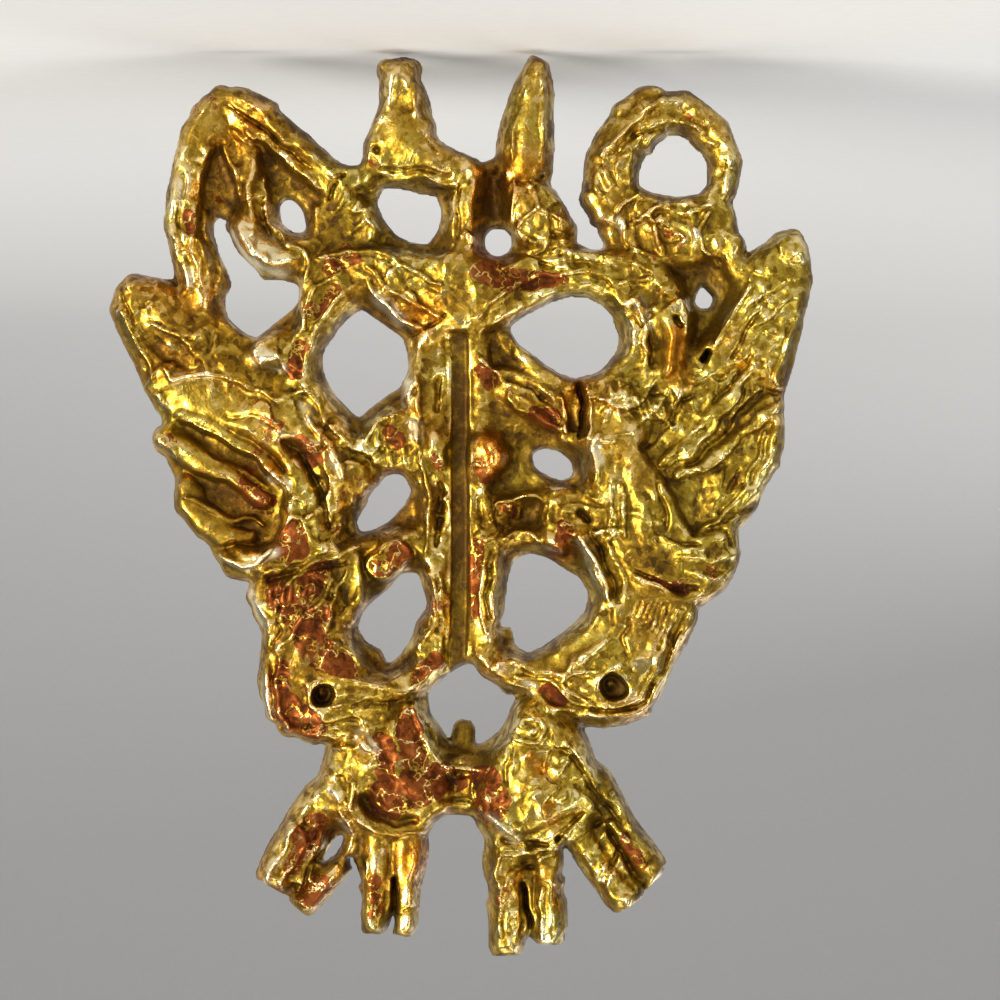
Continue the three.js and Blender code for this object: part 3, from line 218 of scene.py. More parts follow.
# left dove: double line along back and brow, the bed of its eye with beads, smooth facet of the beak
for lift, *path in [
    (0.35, (-15.4, 37.8, 0.22), (-14.6, 39, 0.25), (-13.5, 41.2, 0.25), (-12.5, 43, 0.25),
     (-11.8, 43.75, 0.25), (-10.4, 43.95, 0.25), (-8.4, 43.75, 0.22)),
    (-0.35, (-14.6, 38.4, 0.15), (-13.1, 41.3, 0.16), (-12.1, 43.1, 0.16), (-10.6, 43.65, 0.15),
     (-8.6, 43.4, 0.12)),
    (0.35, (-13.7, 38.6, 0.2), (-12.6, 41.4, 0.24), (-11.8, 42.8, 0.24), (-10.8, 43.3, 0.24),
     (-9, 43.35, 0.22), (-7.8, 43.1, 0.2)),
    (0.3, (-10.9, 42, 1.35), (-9.8, 42, 1.35)),
    (0.35, (-8.8, 43.1, 0.16), (-7.4, 42.3, 0.2), (-6.6, 41.5, 0.2), (-7.4, 40.95, 0.16),
     (-8.7, 41.1, 0.16)),
    (0.3, (-8.5, 42.3, 0.28), (-8.3, 42.2, 0.28)),
    (0.3, (-7.7, 41.8, 0.25), (-7.5, 41.6, 0.25)),
    (0.25, (-8.5, 41.5, 0.2), (-8.3, 41.4, 0.2)),
    (0.4, (-7.7, 43.2, 0.16), (-6.4, 42, 0.2), (-5, 41.5, 0.2), (-3.8, 41.7, 0.2)),
    (0.4, (-7.4, 43.7, 0.2), (-5.6, 43.1, 0.24), (-4.5, 42.4, 0.3), (-2.8, 42, 0.3), (-1.3, 40.9, 0.25)),
    (0.4, (-9.8, 38.9, 0.35), (-8.4, 39.9, 0.42), (-6.8, 40.9, 0.42), (-5, 41, 0.4), (-3.6, 40.5, 0.35)),
    (0.35, (-3.6, 41.2, 0.7), (-2.8, 40.6, 0.7)),
    (0.35, (-10.6, 40.5, 0.3), (-10.4, 40.3, 0.3)),
    (-0.35, (-11.4, 39.9, 0.16), (-10.6, 38.8, 0.2), (-10.9, 37.6, 0.16)),
    (-0.3, (-9.8, 37.9, 0.3), (-9.9, 36.9, 0.3)),
]:
    stroke(path, lift)
fill([(-11.6, 43), (-9, 43), (-9, 40.8), (-11.4, 40.8)], 3.6)
stroke([(-10.5, 42.1, 0.76), (-9.7, 42.25, 0.74)], -1.25)
stroke([(-10.1, 41.6, 0.4), (-10.2, 41.5, 0.4)], -0.5)
stroke([(-10.75, 42.15, 0.25), (-10.5, 42, 0.25)], 0.4)
smooth([(-7.4, 43.4), (-5.4, 43), (-5, 42), (-6.2, 42.1)], 0.15)
smooth([(-9.6, 38.4), (-6.8, 40.6), (-4, 40.8), (-4, 40), (-7, 39.8), (-9.2, 37.6)], 0.2)
# long feather lines drawn down its nape
for k in range(9):
    x, z = -15.2 + 0.4 * k, 36.9 - 0.07 * k
    stroke([(x, z, 0.12), (x + 0.6, z + 1.1, 0.15), (x + 1.2 - 0.05 * k, z + 2.3 - 0.15 * k, 0.1)], -0.28)
# its collar, breast and the edge of the thigh
for lift, *path in [
    (0.3, (-17.9, 35.2, 0.3), (-16, 36.2, 0.35), (-14, 35.9, 0.3), (-11.6, 34.9, 0.25)),
    (-0.4, (-15.6, 35.6, 0.18), (-13.8, 35.4, 0.22), (-11.8, 34.6, 0.18)),
    (0.3, (-18.2, 34.3, 0.2), (-16.6, 34.9, 0.25), (-15, 34.5, 0.2)),
    (0.3, (-18.4, 33.3, 0.22), (-16.4, 33.6, 0.25), (-14.4, 33.3, 0.2)),
    (-0.5, (-17.8, 32.6, 0.25), (-17.6, 31.8, 0.3)),
    (-0.4, (-15.6, 32.7, 0.22), (-14.6, 32.5, 0.25)),
    (0.55, (-9.9, 36.2, 0.18), (-9.5, 34.8, 0.2), (-8.9, 33.5, 0.25), (-7.9, 32.2, 0.25)),
    (-0.4, (-10.6, 36.4, 0.16), (-10.1, 34.8, 0.2), (-9.4, 33.2, 0.2), (-8.6, 31.9, 0.16)),
    (0.3, (-11.2, 36, 0.25), (-10.7, 34.4, 0.28), (-9.8, 32.6, 0.25)),
    (0.3, (-12.4, 32.4, 0.5), (-12, 30.4, 0.6), (-11.4, 28.2, 0.5)),
    (0.4, (-11.1, 32.2, 0.2), (-10.9, 30.6, 0.25), (-10.7, 28.9, 0.2)),
    (0.3, (-9.9, 31.8, 0.2), (-10, 30, 0.25), (-10, 28.4, 0.2)),
    (-0.4, (-13.9, 31.6, 0.2), (-13.4, 29.8, 0.25), (-13.1, 28.2, 0.2)),
    (-0.6, (-8.4, 31, 0.25), (-8.1, 30.4, 0.3)),
    (0.45, (-8.9, 28.4, 0.35), (-8.9, 26.6, 0.4), (-9, 25.4, 0.3)),
    (0.6, (-8.45, 25.8, 0.18), (-8.4, 24, 0.2), (-8.5, 22.2, 0.16)),
    (-0.9, (-7.95, 25.6, 0.22), (-7.9, 23.8, 0.25), (-8, 21.9, 0.22)),
    (0.5, (-7.1, 25.3, 0.2), (-6.9, 24, 0.25), (-6.7, 22.8, 0.2)),
]:
    stroke(path, lift)
# its wing: an outer feather, two long ones and the sunk folds between them
floor([(-15.4, 32), (-19, 30.4), (-21, 27.8), (-21.4, 24.6), (-21, 22.6), (-18.8, 20.6), (-15.4, 22.4),
       (-12, 26), (-14, 29)], 2.7)
fill([(-15.4, 32), (-19, 30.2), (-20.8, 27.8), (-21.1, 24.6), (-20.8, 22.8), (-18.8, 20.8), (-15.4, 22.4),
      (-12, 26), (-14, 29)], 2.65)
for level, *path in [
    (3, (-16, 31.7, 0.5), (-18.5, 30.2, 0.6), (-20, 28.4, 0.7), (-20.6, 26.2, 0.7), (-20.7, 24.4, 0.6)),
    (3.2, (-14.6, 28.2, 0.5), (-16.2, 27.4, 0.62), (-17.8, 26, 0.65), (-19.3, 24.7, 0.6),
     (-20.8, 23.6, 0.5)),
    (3.1, (-13.4, 27.4, 0.55), (-15.2, 26, 0.75), (-17, 24.1, 0.8), (-18.4, 22.4, 0.8), (-19.8, 20.4, 0.7)),
    (2.9, (-14.2, 29.8, 0.7), (-13.4, 30.9, 0.8)),
]:
    limb(path, level)
for lift, *path in [
    (0.4, (-15.8, 31.9, 0.2), (-17.6, 30.6, 0.22), (-18.9, 29.1, 0.22), (-19.7, 26.9, 0.2),
     (-20, 25.2, 0.16)),
    (-0.35, (-17.6, 29.3, 0.25), (-18.3, 27.8, 0.3)),
    (0.35, (-14.3, 28.5, 0.16), (-15.4, 28.2, 0.2), (-17, 27.2, 0.22), (-18.4, 25.9, 0.22),
     (-20.4, 24.3, 0.18)),
    (-0.45, (-15, 27.5, 0.2), (-16.4, 26.5, 0.25), (-17.6, 25.1, 0.3), (-18.8, 23.8, 0.35),
     (-20.3, 22.8, 0.35), (-21.3, 22.6, 0.3)),
    (0.35, (-14, 27.5, 0.2), (-15.6, 26.3, 0.22), (-17.2, 24.5, 0.22), (-18.4, 23, 0.2)),
    (-0.4, (-12.1, 26.4, 0.2), (-13.2, 25.3, 0.3), (-14.3, 24.1, 0.3), (-15.3, 22.9, 0.2)),
    (-0.35, (-16.8, 23.6, 0.15), (-18.2, 21.8, 0.16), (-19.2, 20.2, 0.12)),
    (-0.3, (-17.8, 24.3, 0.12), (-19, 22.4, 0.12)),
    (0.4, (-20.9, 21.9, 0.18), (-21.5, 19.6, 0.2), (-22.3, 17.6, 0.18)),
    (-0.35, (-21.7, 21.6, 0.3), (-22.2, 19.4, 0.35), (-22.6, 17.8, 0.25)),
    (0.35, (-19.4, 18.6, 0.16), (-20.7, 17.4, 0.18), (-22, 16.2, 0.16)),
    (-0.3, (-18.6, 17.6, 0.14), (-20.2, 16.2, 0.14), (-21.6, 15.4, 0.12)),
    (0.45, (-16.9, 19.2, 0.2), (-17.9, 17.4, 0.25), (-19, 15.6, 0.22)),
    (-0.35, (-17.9, 20.4, 0.14), (-19.3, 18.2, 0.14), (-20.6, 16.4, 0.12)),
    (0.5, (-22.4, 13.4, 0.75), (-22.1, 13.4, 0.75)),
    (-1.6, (-16.28, 19.9, 0.25), (-16.15, 20.5, 0.25)),
    (0.45, (-13.9, 21.3, 0.7), (-13.8, 19.8, 0.75), (-13.6, 18.2, 0.7), (-13.1, 17, 0.6)),
    (0.4, (-14.9, 18.9, 0.25), (-15, 17.4, 0.25), (-14.4, 16.2, 0.25), (-13.4, 16, 0.25)),
    (-0.7, (-14.4, 18.2, 0.25), (-14.2, 17.7, 0.25)),
    (-0.35, (-12.7, 21, 0.16), (-12.8, 19.6, 0.2), (-12.4, 18, 0.16)),
    (0.45, (-12.3, 20.6, 0.25), (-12.2, 18.6, 0.25), (-11.8, 16.9, 0.3)),
]:
    stroke(path, lift)
# rosette and ribs under the breast
for turn in range(10):
    a = turn * math.tau / 10
    stroke([(-10.5 + 0.5 * math.cos(a), 23.3 + 0.5 * math.sin(a), 0.12),
            (-10.5 + 1.3 * math.cos(a + 0.3), 23.3 + 1.3 * math.sin(a + 0.3), 0.16)], 0.28)
stroke([(-10.6, 23.3, 0.3), (-10.4, 23.3, 0.3)], -0.3)
for k in range(5):
    stroke([(-13.9 + 0.42 * k, 24.9 - 0.12 * k, 0.16), (-13.3 + 0.42 * k, 23.5 - 0.12 * k, 0.16)], 0.35)
smooth([(-22.6, 21), (-21.4, 21.6), (-21.6, 18), (-22.8, 17.4)], 0.2)
smooth([(-15.4, 31), (-13.8, 31.6), (-13, 29.6), (-14.8, 29)], 0.2)
smooth([(-14.8, 22.2), (-13, 22.2), (-12.8, 17), (-14.6, 17.4)], 0.25)

# right dove: the bed of its eye, double brow, nape, both halves of the beak
for lift, *path in [
    (0.3, (8.4, 42.5, 1.2), (9.2, 42.5, 1.2)),
    (0.35, (7.6, 43.2, 0.16), (8.8, 43.8, 0.2), (9.8, 43.2, 0.2), (9.9, 42, 0.18)),
    (0.3, (6, 45, 0.3), (8.2, 45.3, 0.3), (10.4, 45.2, 0.35), (11.5, 44.2, 0.3)),
    (-0.3, (6.6, 44.2, 0.18), (8.6, 44.6, 0.2), (10.2, 44.4, 0.18)),
    (0.45, (11.1, 45, 0.2), (11.7, 43.6, 0.24), (12, 41.6, 0.22), (11.7, 40, 0.2)),
    (-0.4, (11.6, 44.8, 0.14), (12.2, 43.2, 0.16), (12.3, 41.4, 0.14)),
    (0.35, (12.3, 44, 0.3), (12.8, 42.2, 0.35), (12.7, 40.4, 0.3)),
    (0.35, (7.6, 41.6, 0.3), (5.4, 42.1, 0.35), (3.6, 42.3, 0.4), (2.1, 41.4, 0.4), (1.2, 40.4, 0.3)),
    (-0.35, (7, 43.4, 0.2), (5.2, 43.1, 0.25), (3.4, 42.9, 0.18)),
    (0.5, (4.6, 41.5, 0.14), (5.6, 41.2, 0.18), (7, 39.8, 0.2), (8.4, 38.9, 0.16)),
    (0.4, (8.6, 38.4, 0.2), (8.2, 37, 0.22), (8.1, 35.6, 0.2), (7.4, 34.4, 0.2)),
    (0.4, (12, 39.6, 0.2), (11, 38.6, 0.22), (10.2, 37.4, 0.22), (9, 36.3, 0.2), (8.4, 35, 0.18)),
    (0.4, (13, 39.2, 0.2), (12.5, 37.8, 0.22), (13.4, 36.4, 0.2)),
    (-0.4, (12.4, 39.6, 0.14), (11.8, 38.2, 0.16), (11.7, 36.8, 0.14)),
]:
    stroke(path, lift)
fill([(8, 43.4), (9.9, 43.3), (9.8, 41.5), (8, 41.5)], 3.5)
stroke([(8.7, 42.6, 0.78), (9.1, 42.3, 0.78)], -1.2)
stroke([(8.6, 42.5, 0.2), (8.8, 42.35, 0.2)], 0.35)
for k in range(7):
    stroke([(9.4 + 0.5 * k, 34.9 + 0.12 * k, 0.14), (9.7 + 0.45 * k, 35.7 + 0.2 * k, 0.16)], 0.3)
# its collar and breast, with the long groove between breast and wing
for lift, *path in [
    (0.4, (6.6, 32.8, 0.2), (8.6, 33.4, 0.25), (11, 34.3, 0.28), (13, 34.8, 0.25)),
    (-0.4, (7.4, 33.8, 0.16), (9.8, 34.4, 0.2), (12.4, 35.2, 0.16)),
    (0.3, (8.8, 32.8, 0.2), (10, 33.6, 0.2), (12, 34.1, 0.2)),
    (-0.45, (8.55, 31.7, 0.16), (8.8, 30.2, 0.2), (9.1, 28.8, 0.22), (9.6, 27.5, 0.22), (10.4, 26.6, 0.2),
     (11.5, 25.9, 0.16)),
    (0.35, (9, 32.6, 0.22), (9.8, 32.3, 0.25), (10.1, 31.4, 0.22), (9.4, 30.9, 0.2)),
    (0.5, (10.2, 31.2, 0.2), (10.9, 30.8, 0.25), (11.4, 31.4, 0.22), (12.2, 32.8, 0.25),
     (13.2, 33.8, 0.3), (14.4, 34.1, 0.3), (15.7, 33.5, 0.25)),
    (0.35, (13.2, 33.2, 0.35), (13.6, 33, 0.35)),
    (0.35, (10, 30.4, 0.18), (9.9, 29.8, 0.2), (10.6, 29.4, 0.2), (11.5, 29.9, 0.18)),
    (0.35, (7.1, 31.6, 0.3), (7, 30, 0.35), (7.4, 28.8, 0.3)),
    (0.5, (7.6, 28.4, 0.16), (7.8, 27.4, 0.2), (8.5, 26.1, 0.22), (9.4, 25, 0.22), (10.2, 24.2, 0.2)),
    (0.35, (7, 26.5, 0.2), (8.2, 25.2, 0.22), (9.2, 23.4, 0.22), (10.4, 22.2, 0.2)),
]:
    stroke(path, lift)
# its wing: a smooth hollow with three petals, each with a rolled edge and a round end
floor([(12, 32.6), (16.6, 33), (19.4, 29.6), (19.2, 27.2), (20.9, 25.4), (19.4, 23.9), (15, 25),
       (11.4, 27.6), (11.6, 30)], 2.5)
fill([(12, 32.6), (16.2, 32.8), (18.4, 29.6), (18.6, 27.2), (20, 25.4), (19, 24.1), (15, 25),
      (11.4, 27.6), (11.6, 30)], 2.4)
for level, *path in [
    (3.45, (13.8, 32.1, 0.6), (15.3, 32, 0.9), (16.7, 31.2, 1.2), (17.8, 30, 1.15), (17.9, 28.7, 0.95)),
    (3.35, (12.9, 29.7, 0.75), (14.6, 28.7, 0.85), (16.4, 27.5, 0.9), (18.2, 26.4, 1.05), (19.4, 25.7, 1.1)),
    (3.2, (11.2, 28.7, 0.6), (12.4, 27.5, 0.65), (13.9, 26.2, 0.65), (15.8, 25, 0.6), (18.2, 23.9, 0.6)),
]:
    limb(path, level)
floor([(13.2, 31.1), (14, 30.5), (15, 30.8), (16.5, 30), (16.9, 29), (16, 28.4), (14.2, 29.7),
       (13, 30.4)], 2.45, 0.3)
floor([(12.5, 28.7), (13.6, 27.9), (16, 26.7), (18.7, 24.7), (18.2, 24.4), (15.6, 25.9), (13.6, 27.2),
       (12.4, 28.1)], 2.2, 0.3)
for lift, *path in [
    (0.6, (12.9, 31.4, 0.16), (13.5, 30.9, 0.2), (14.2, 30.8, 0.24), (15, 31.1, 0.24), (15.8, 30.8, 0.26),
     (16.8, 30.1, 0.24), (17.9, 29.7, 0.18)),
    (0.35, (12.5, 29, 0.14), (13.4, 28.3, 0.16), (15, 27.5, 0.18), (16.6, 26.7, 0.16)),
    (0.5, (11.1, 29, 0.2), (12.3, 27.9, 0.24), (13.6, 26.9, 0.24), (15.8, 25.5, 0.24), (18.2, 24.4, 0.2)),
]:
    stroke(path, lift)
smooth([(11.8, 32.6), (16.8, 33), (19.6, 29.4), (19.4, 27.2), (21, 25.2), (19.2, 24.4), (12.2, 28)], 0.12)
smooth([(11.6, 28), (19, 24.4), (19.4, 22.4), (16, 22.6), (12.8, 25)], 0.35)
smooth([(8.8, 33), (12.4, 34.4), (11.2, 31.4), (10.2, 31.4)], 0.2)
# its tail: the lower edge of a sheet, the pitted end below it
for lift, *path in [
    (0.45, (10, 22.7, 0.16), (12, 22.9, 0.2), (13.5, 22.3, 0.22), (15.2, 21.6, 0.24), (16.4, 21.2, 0.24),
     (17.3, 21.7, 0.24), (18.8, 21.8, 0.22), (19.6, 21.1, 0.18)),
    (0.4, (16.4, 21, 0.2), (17.2, 19.8, 0.26), (18.4, 18.7, 0.26), (20.2, 18.2, 0.2)),
    (-0.35, (17.4, 21, 0.5), (19, 20.4, 0.6), (20.4, 19, 0.5)),
    (0.35, (20.1, 21.8, 0.18), (21, 19.8, 0.2), (22.2, 17.5, 0.18)),
    (-0.35, (21.2, 18.4, 0.14), (21.9, 17.2, 0.16), (22.3, 15.6, 0.14)),
    (-0.25, (12, 25, 0.2), (13.6, 24.3, 0.24), (15.4, 24, 0.2)),
]:
    stroke(path, lift)

# trunk: the bed of its groove, the nuggets on the bars, and the recesses in them
floor([(-0.55, 41.5), (-0.55, 18.8), (0.5, 18.8), (0.5, 41.5)], 1.95, 0.35)
smooth([(-0.7, 41), (-0.7, 19), (0.6, 19), (0.6, 41)], 0.06)
for lift, *path in [
    (0.4, (-2.5, 38.8, 0.2), (-2.35, 36.6, 0.24), (-2.5, 34.4, 0.24), (-2.3, 32.6, 0.2)),
    (0.4, (-1.75, 38.4, 0.16), (-1.7, 35.6, 0.2), (-1.65, 32.8, 0.16)),
    (-0.3, (-2.1, 37.6, 0.12), (-2, 35, 0.14), (-2, 33, 0.12)),
    (0.4, (-2.2, 31.4, 0.16), (-2.2, 29.6, 0.16)),
    (-0.4, (-1.5, 31.2, 0.35), (-1.5, 29.6, 0.35)),
    (0.3, (1.05, 39.6, 0.2), (1, 37, 0.2), (1.2, 34.6, 0.2)),
    (0.4, (2.4, 39.2, 0.2), (1.5, 37.8, 0.22), (1.5, 36.2, 0.22), (2.2, 34.4, 0.22)),
    (0.5, (2.2, 33.2, 0.16), (2.05, 31, 0.2), (2, 29.6, 0.2), (2.4, 27.8, 0.2), (2.5, 26.6, 0.16)),
    (-0.5, (1.4, 32.6, 0.3), (1.4, 30.4, 0.34), (1.4, 28.8, 0.25)),
    (0.4, (1.4, 32, 0.24), (1.5, 31.9, 0.24)),
    (0.35, (1.35, 30.8, 0.2), (1.45, 30.7, 0.2)),
    (0.4, (1.25, 29.6, 0.22), (1.35, 29.5, 0.22)),
    (-0.5, (1.5, 23.8, 0.25), (1.5, 21.8, 0.3)),
    (0.4, (2.5, 24.4, 0.16), (2.6, 22.6, 0.2), (3.3, 20.4, 0.2), (3.3, 18.8, 0.16)),
    (0.5, (-2.9, 27.6, 0.7), (-2.3, 26.2, 0.8)),
    (0.4, (1.5, 26, 0.6), (1.7, 25.1, 0.6)),
    (0.45, (2.8, 25.8, 0.4), (2.9, 24.8, 0.4)),
    (0.45, (3.4, 23, 0.45), (3.4, 22.1, 0.4)),
    (-0.5, (0.8, 17.5, 0.12), (2, 18.2, 0.16), (3.4, 18.9, 0.12)),
    (0.35, (3.6, 27.4, 0.16), (3.8, 26, 0.2)),
    (0.35, (4.6, 27.6, 0.2), (4.9, 26.2, 0.24)),
]:
    stroke(path, lift)
smooth([(-1.6, 37.6), (-0.7, 37.6), (-0.7, 32.4), (-1.5, 32.4)], 0.12)
# the sheets between the trunk and the doves lie deep and smooth
for level, *points in [
    (1.5, (-5.1, 27.5), (-4.9, 29.1), (-2.7, 29.2), (-2.8, 27.9), (-3.7, 26.9)),
    (1.5, (-6.6, 25.3), (-6.4, 26.1), (-4.2, 26.2), (-2.9, 25.2), (-3.4, 24.7), (-4.7, 24.9)),
    (1.4, (-3.5, 19.2), (-3.2, 20.8), (-2.1, 21), (-2, 19.9), (-2.5, 19)),
    (1.6, (-5.4, 30.1), (-5.3, 31.7), (-4.4, 31.7), (-4.2, 30.2), (-4.8, 29.8)),
    (1.2, (-2.7, 7.9), (-2.75, 11.3), (-1.85, 11.5), (-1.75, 7.8)),
]:
    floor(points, level)

# branches: knots and twists on the bars left and right of the trunk, and the oval boss with its rim
limb([(3.9, 33.2, 0.9), (5.1, 34.2, 1)], 3.1, 0.15)
floor([(4.9, 35.5), (6.3, 37.2), (6.35, 33.4), (6.2, 33.4), (6, 34.8)], 2.1)
smooth([(3.2, 32.4), (3.6, 34.4), (6.3, 37.4), (6.5, 33)], 0.3)
for lift, *path in [
    (0.4, (3.3, 33, 0.16), (3.9, 32.4, 0.18), (4.8, 32.5, 0.2), (5.7, 33.2, 0.22), (6.05, 34.1, 0.22),
     (5.8, 34.8, 0.2), (4.9, 35.1, 0.18), (3.9, 34.4, 0.16), (3.2, 33.4, 0.16)),
    (0.35, (6.5, 37.4, 0.16), (6.55, 35.4, 0.18), (6.5, 33.4, 0.16)),
    (0.45, (-6.6, 32.9, 0.6), (-5.9, 32.3, 0.6)),
    (0.3, (-7.9, 32.4, 0.25), (-7, 31.8, 0.25)),
    (0.35, (-5.1, 32.3, 0.25), (-4.7, 31.8, 0.25), (-3.6, 31.9, 0.2), (-2.8, 32.3, 0.2)),
    (0.5, (-5.6, 31.2, 0.16), (-5.6, 30.2, 0.2), (-5, 29.5, 0.2), (-3.6, 29.5, 0.2), (-2.5, 29.8, 0.18),
     (-2.2, 31, 0.16)),
    (0.35, (-4.1, 30.9, 0.16), (-4, 30, 0.18), (-3.4, 29.7, 0.16)),
    (0.4, (-3.4, 31.4, 0.16), (-2.7, 31.3, 0.2), (-2.2, 31.9, 0.18), (-1.5, 32.3, 0.16)),
    (0.4, (-6.9, 24.8, 0.2), (-5.6, 23.6, 0.25), (-4.6, 22.4, 0.22), (-3.2, 21.9, 0.2), (-1.2, 20.3, 0.25)),
    (0.4, (-4.5, 24, 0.14), (-3.6, 23.8, 0.16), (-3.1, 23, 0.18), (-3.3, 22.3, 0.14)),
    (0.3, (-4.4, 23.3, 0.14), (-3.8, 22.9, 0.16)),
    (0.3, (-7.6, 28.9, 0.2), (-6.4, 29.1, 0.25), (-5, 28.1, 0.18)),
    (0.35, (-6.9, 21.6, 0.25), (-5.2, 20.6, 0.3), (-3.6, 19.2, 0.25)),
    (0.45, (4.2, 24.2, 0.25), (5.2, 24.5, 0.3), (5.9, 25.8, 0.25)),
    (0.3, (5.2, 26.6, 0.3), (5.9, 28, 0.3), (6.6, 29.8, 0.3)),
    (0.35, (-12.6, 15.3, 0.25), (-10.6, 15.4, 0.3), (-8.4, 14.6, 0.3), (-5.8, 14.7, 0.3),
     (-3.4, 15.9, 0.25), (-1.9, 16.9, 0.2)),
    (0.3, (-12.8, 14.8, 0.2), (-10.6, 13.8, 0.22), (-8, 13.3, 0.25), (-5.4, 13.5, 0.22), (-2.8, 14.6, 0.2)),
    (-0.3, (-11, 14.6, 0.14), (-8.4, 14, 0.16), (-5.4, 14.1, 0.14)),
    (0.35, (-12, 17.2, 0.55), (-11.5, 16.6, 0.5)),
    (0.3, (-1.2, 17.8, 0.4), (-1.7, 16.9, 0.4)),
    (0.35, (1.1, 17.6, 0.18), (2.6, 16.9, 0.2), (4.4, 15.9, 0.2), (6, 14.6, 0.2)),
    (0.45, (1.2, 15.4, 0.16), (2.6, 14.9, 0.2), (4.2, 14.2, 0.2), (5.4, 13.4, 0.2), (7.4, 13.4, 0.2),
     (9.4, 13.7, 0.16)),
    (0.35, (2.4, 18.4, 0.18), (4, 17.8, 0.25), (5.2, 16.4, 0.25), (6, 15.2, 0.2)),
    (0.35, (6.6, 15.4, 0.25), (8, 16.6, 0.3), (9.6, 18.8, 0.3), (10.2, 21, 0.25)),
    (0.35, (7.8, 14.6, 0.2), (9.6, 15.6, 0.22), (10, 17.2, 0.2), (10.4, 18.8, 0.18)),
    (0.35, (12, 20.3, 0.6), (13, 20.3, 0.65)),
    (0.35, (11.5, 21.2, 0.2), (12, 19.6, 0.2)),
    (0.3, (12.8, 21.2, 0.2), (13.4, 20.2, 0.2), (13, 19.3, 0.2)),
]:
    stroke(path, lift)
smooth([(-17.8, 17.8), (-16.8, 13.6), (-13.4, 13.2), (-13.2, 14.8), (-15.4, 14.8), (-15.6, 17.6)], 0.1)
smooth([(7.8, 15.6), (9.8, 18.2), (10, 16.4), (9.4, 15.2)], 0.3)

# crowns: a bulb over each head with a crescent fold, and forked twigs split to their rounded tips
for level, *path in [
    (3, (-12.7, 54.1, 0.75), (-11.2, 52.2, 0.8), (-9.8, 50.2, 0.8)),
    (3.1, (-11, 56.2, 0.75), (-9.8, 54.6, 0.85), (-8.6, 52.6, 0.85)),
    (3.1, (-5.85, 58.4, 0.8), (-5.75, 56.4, 0.8), (-5.8, 54.2, 0.8)),
    (3.2, (-3.2, 59, 0.85), (-3.1, 56.4, 0.9), (-3.1, 53.8, 0.9)),
    (3, (3.45, 57.9, 0.65), (3.3, 55.6, 0.72), (3, 53, 0.8)),
    (3.1, (5.7, 57.8, 0.65), (5.65, 55.6, 0.7), (5.6, 53, 0.75)),
    (3, (9.9, 56.2, 0.8), (8.8, 54.9, 0.75), (8, 54, 0.6)),
    (3.1, (12.4, 54.6, 0.85), (11.2, 52.6, 0.85), (9.8, 50.4, 0.85)),
    (3.4, (6.2, 47, 0.45), (7.4, 47.5, 0.5), (8.9, 48.2, 0.5)),
]:
    limb(path, level)
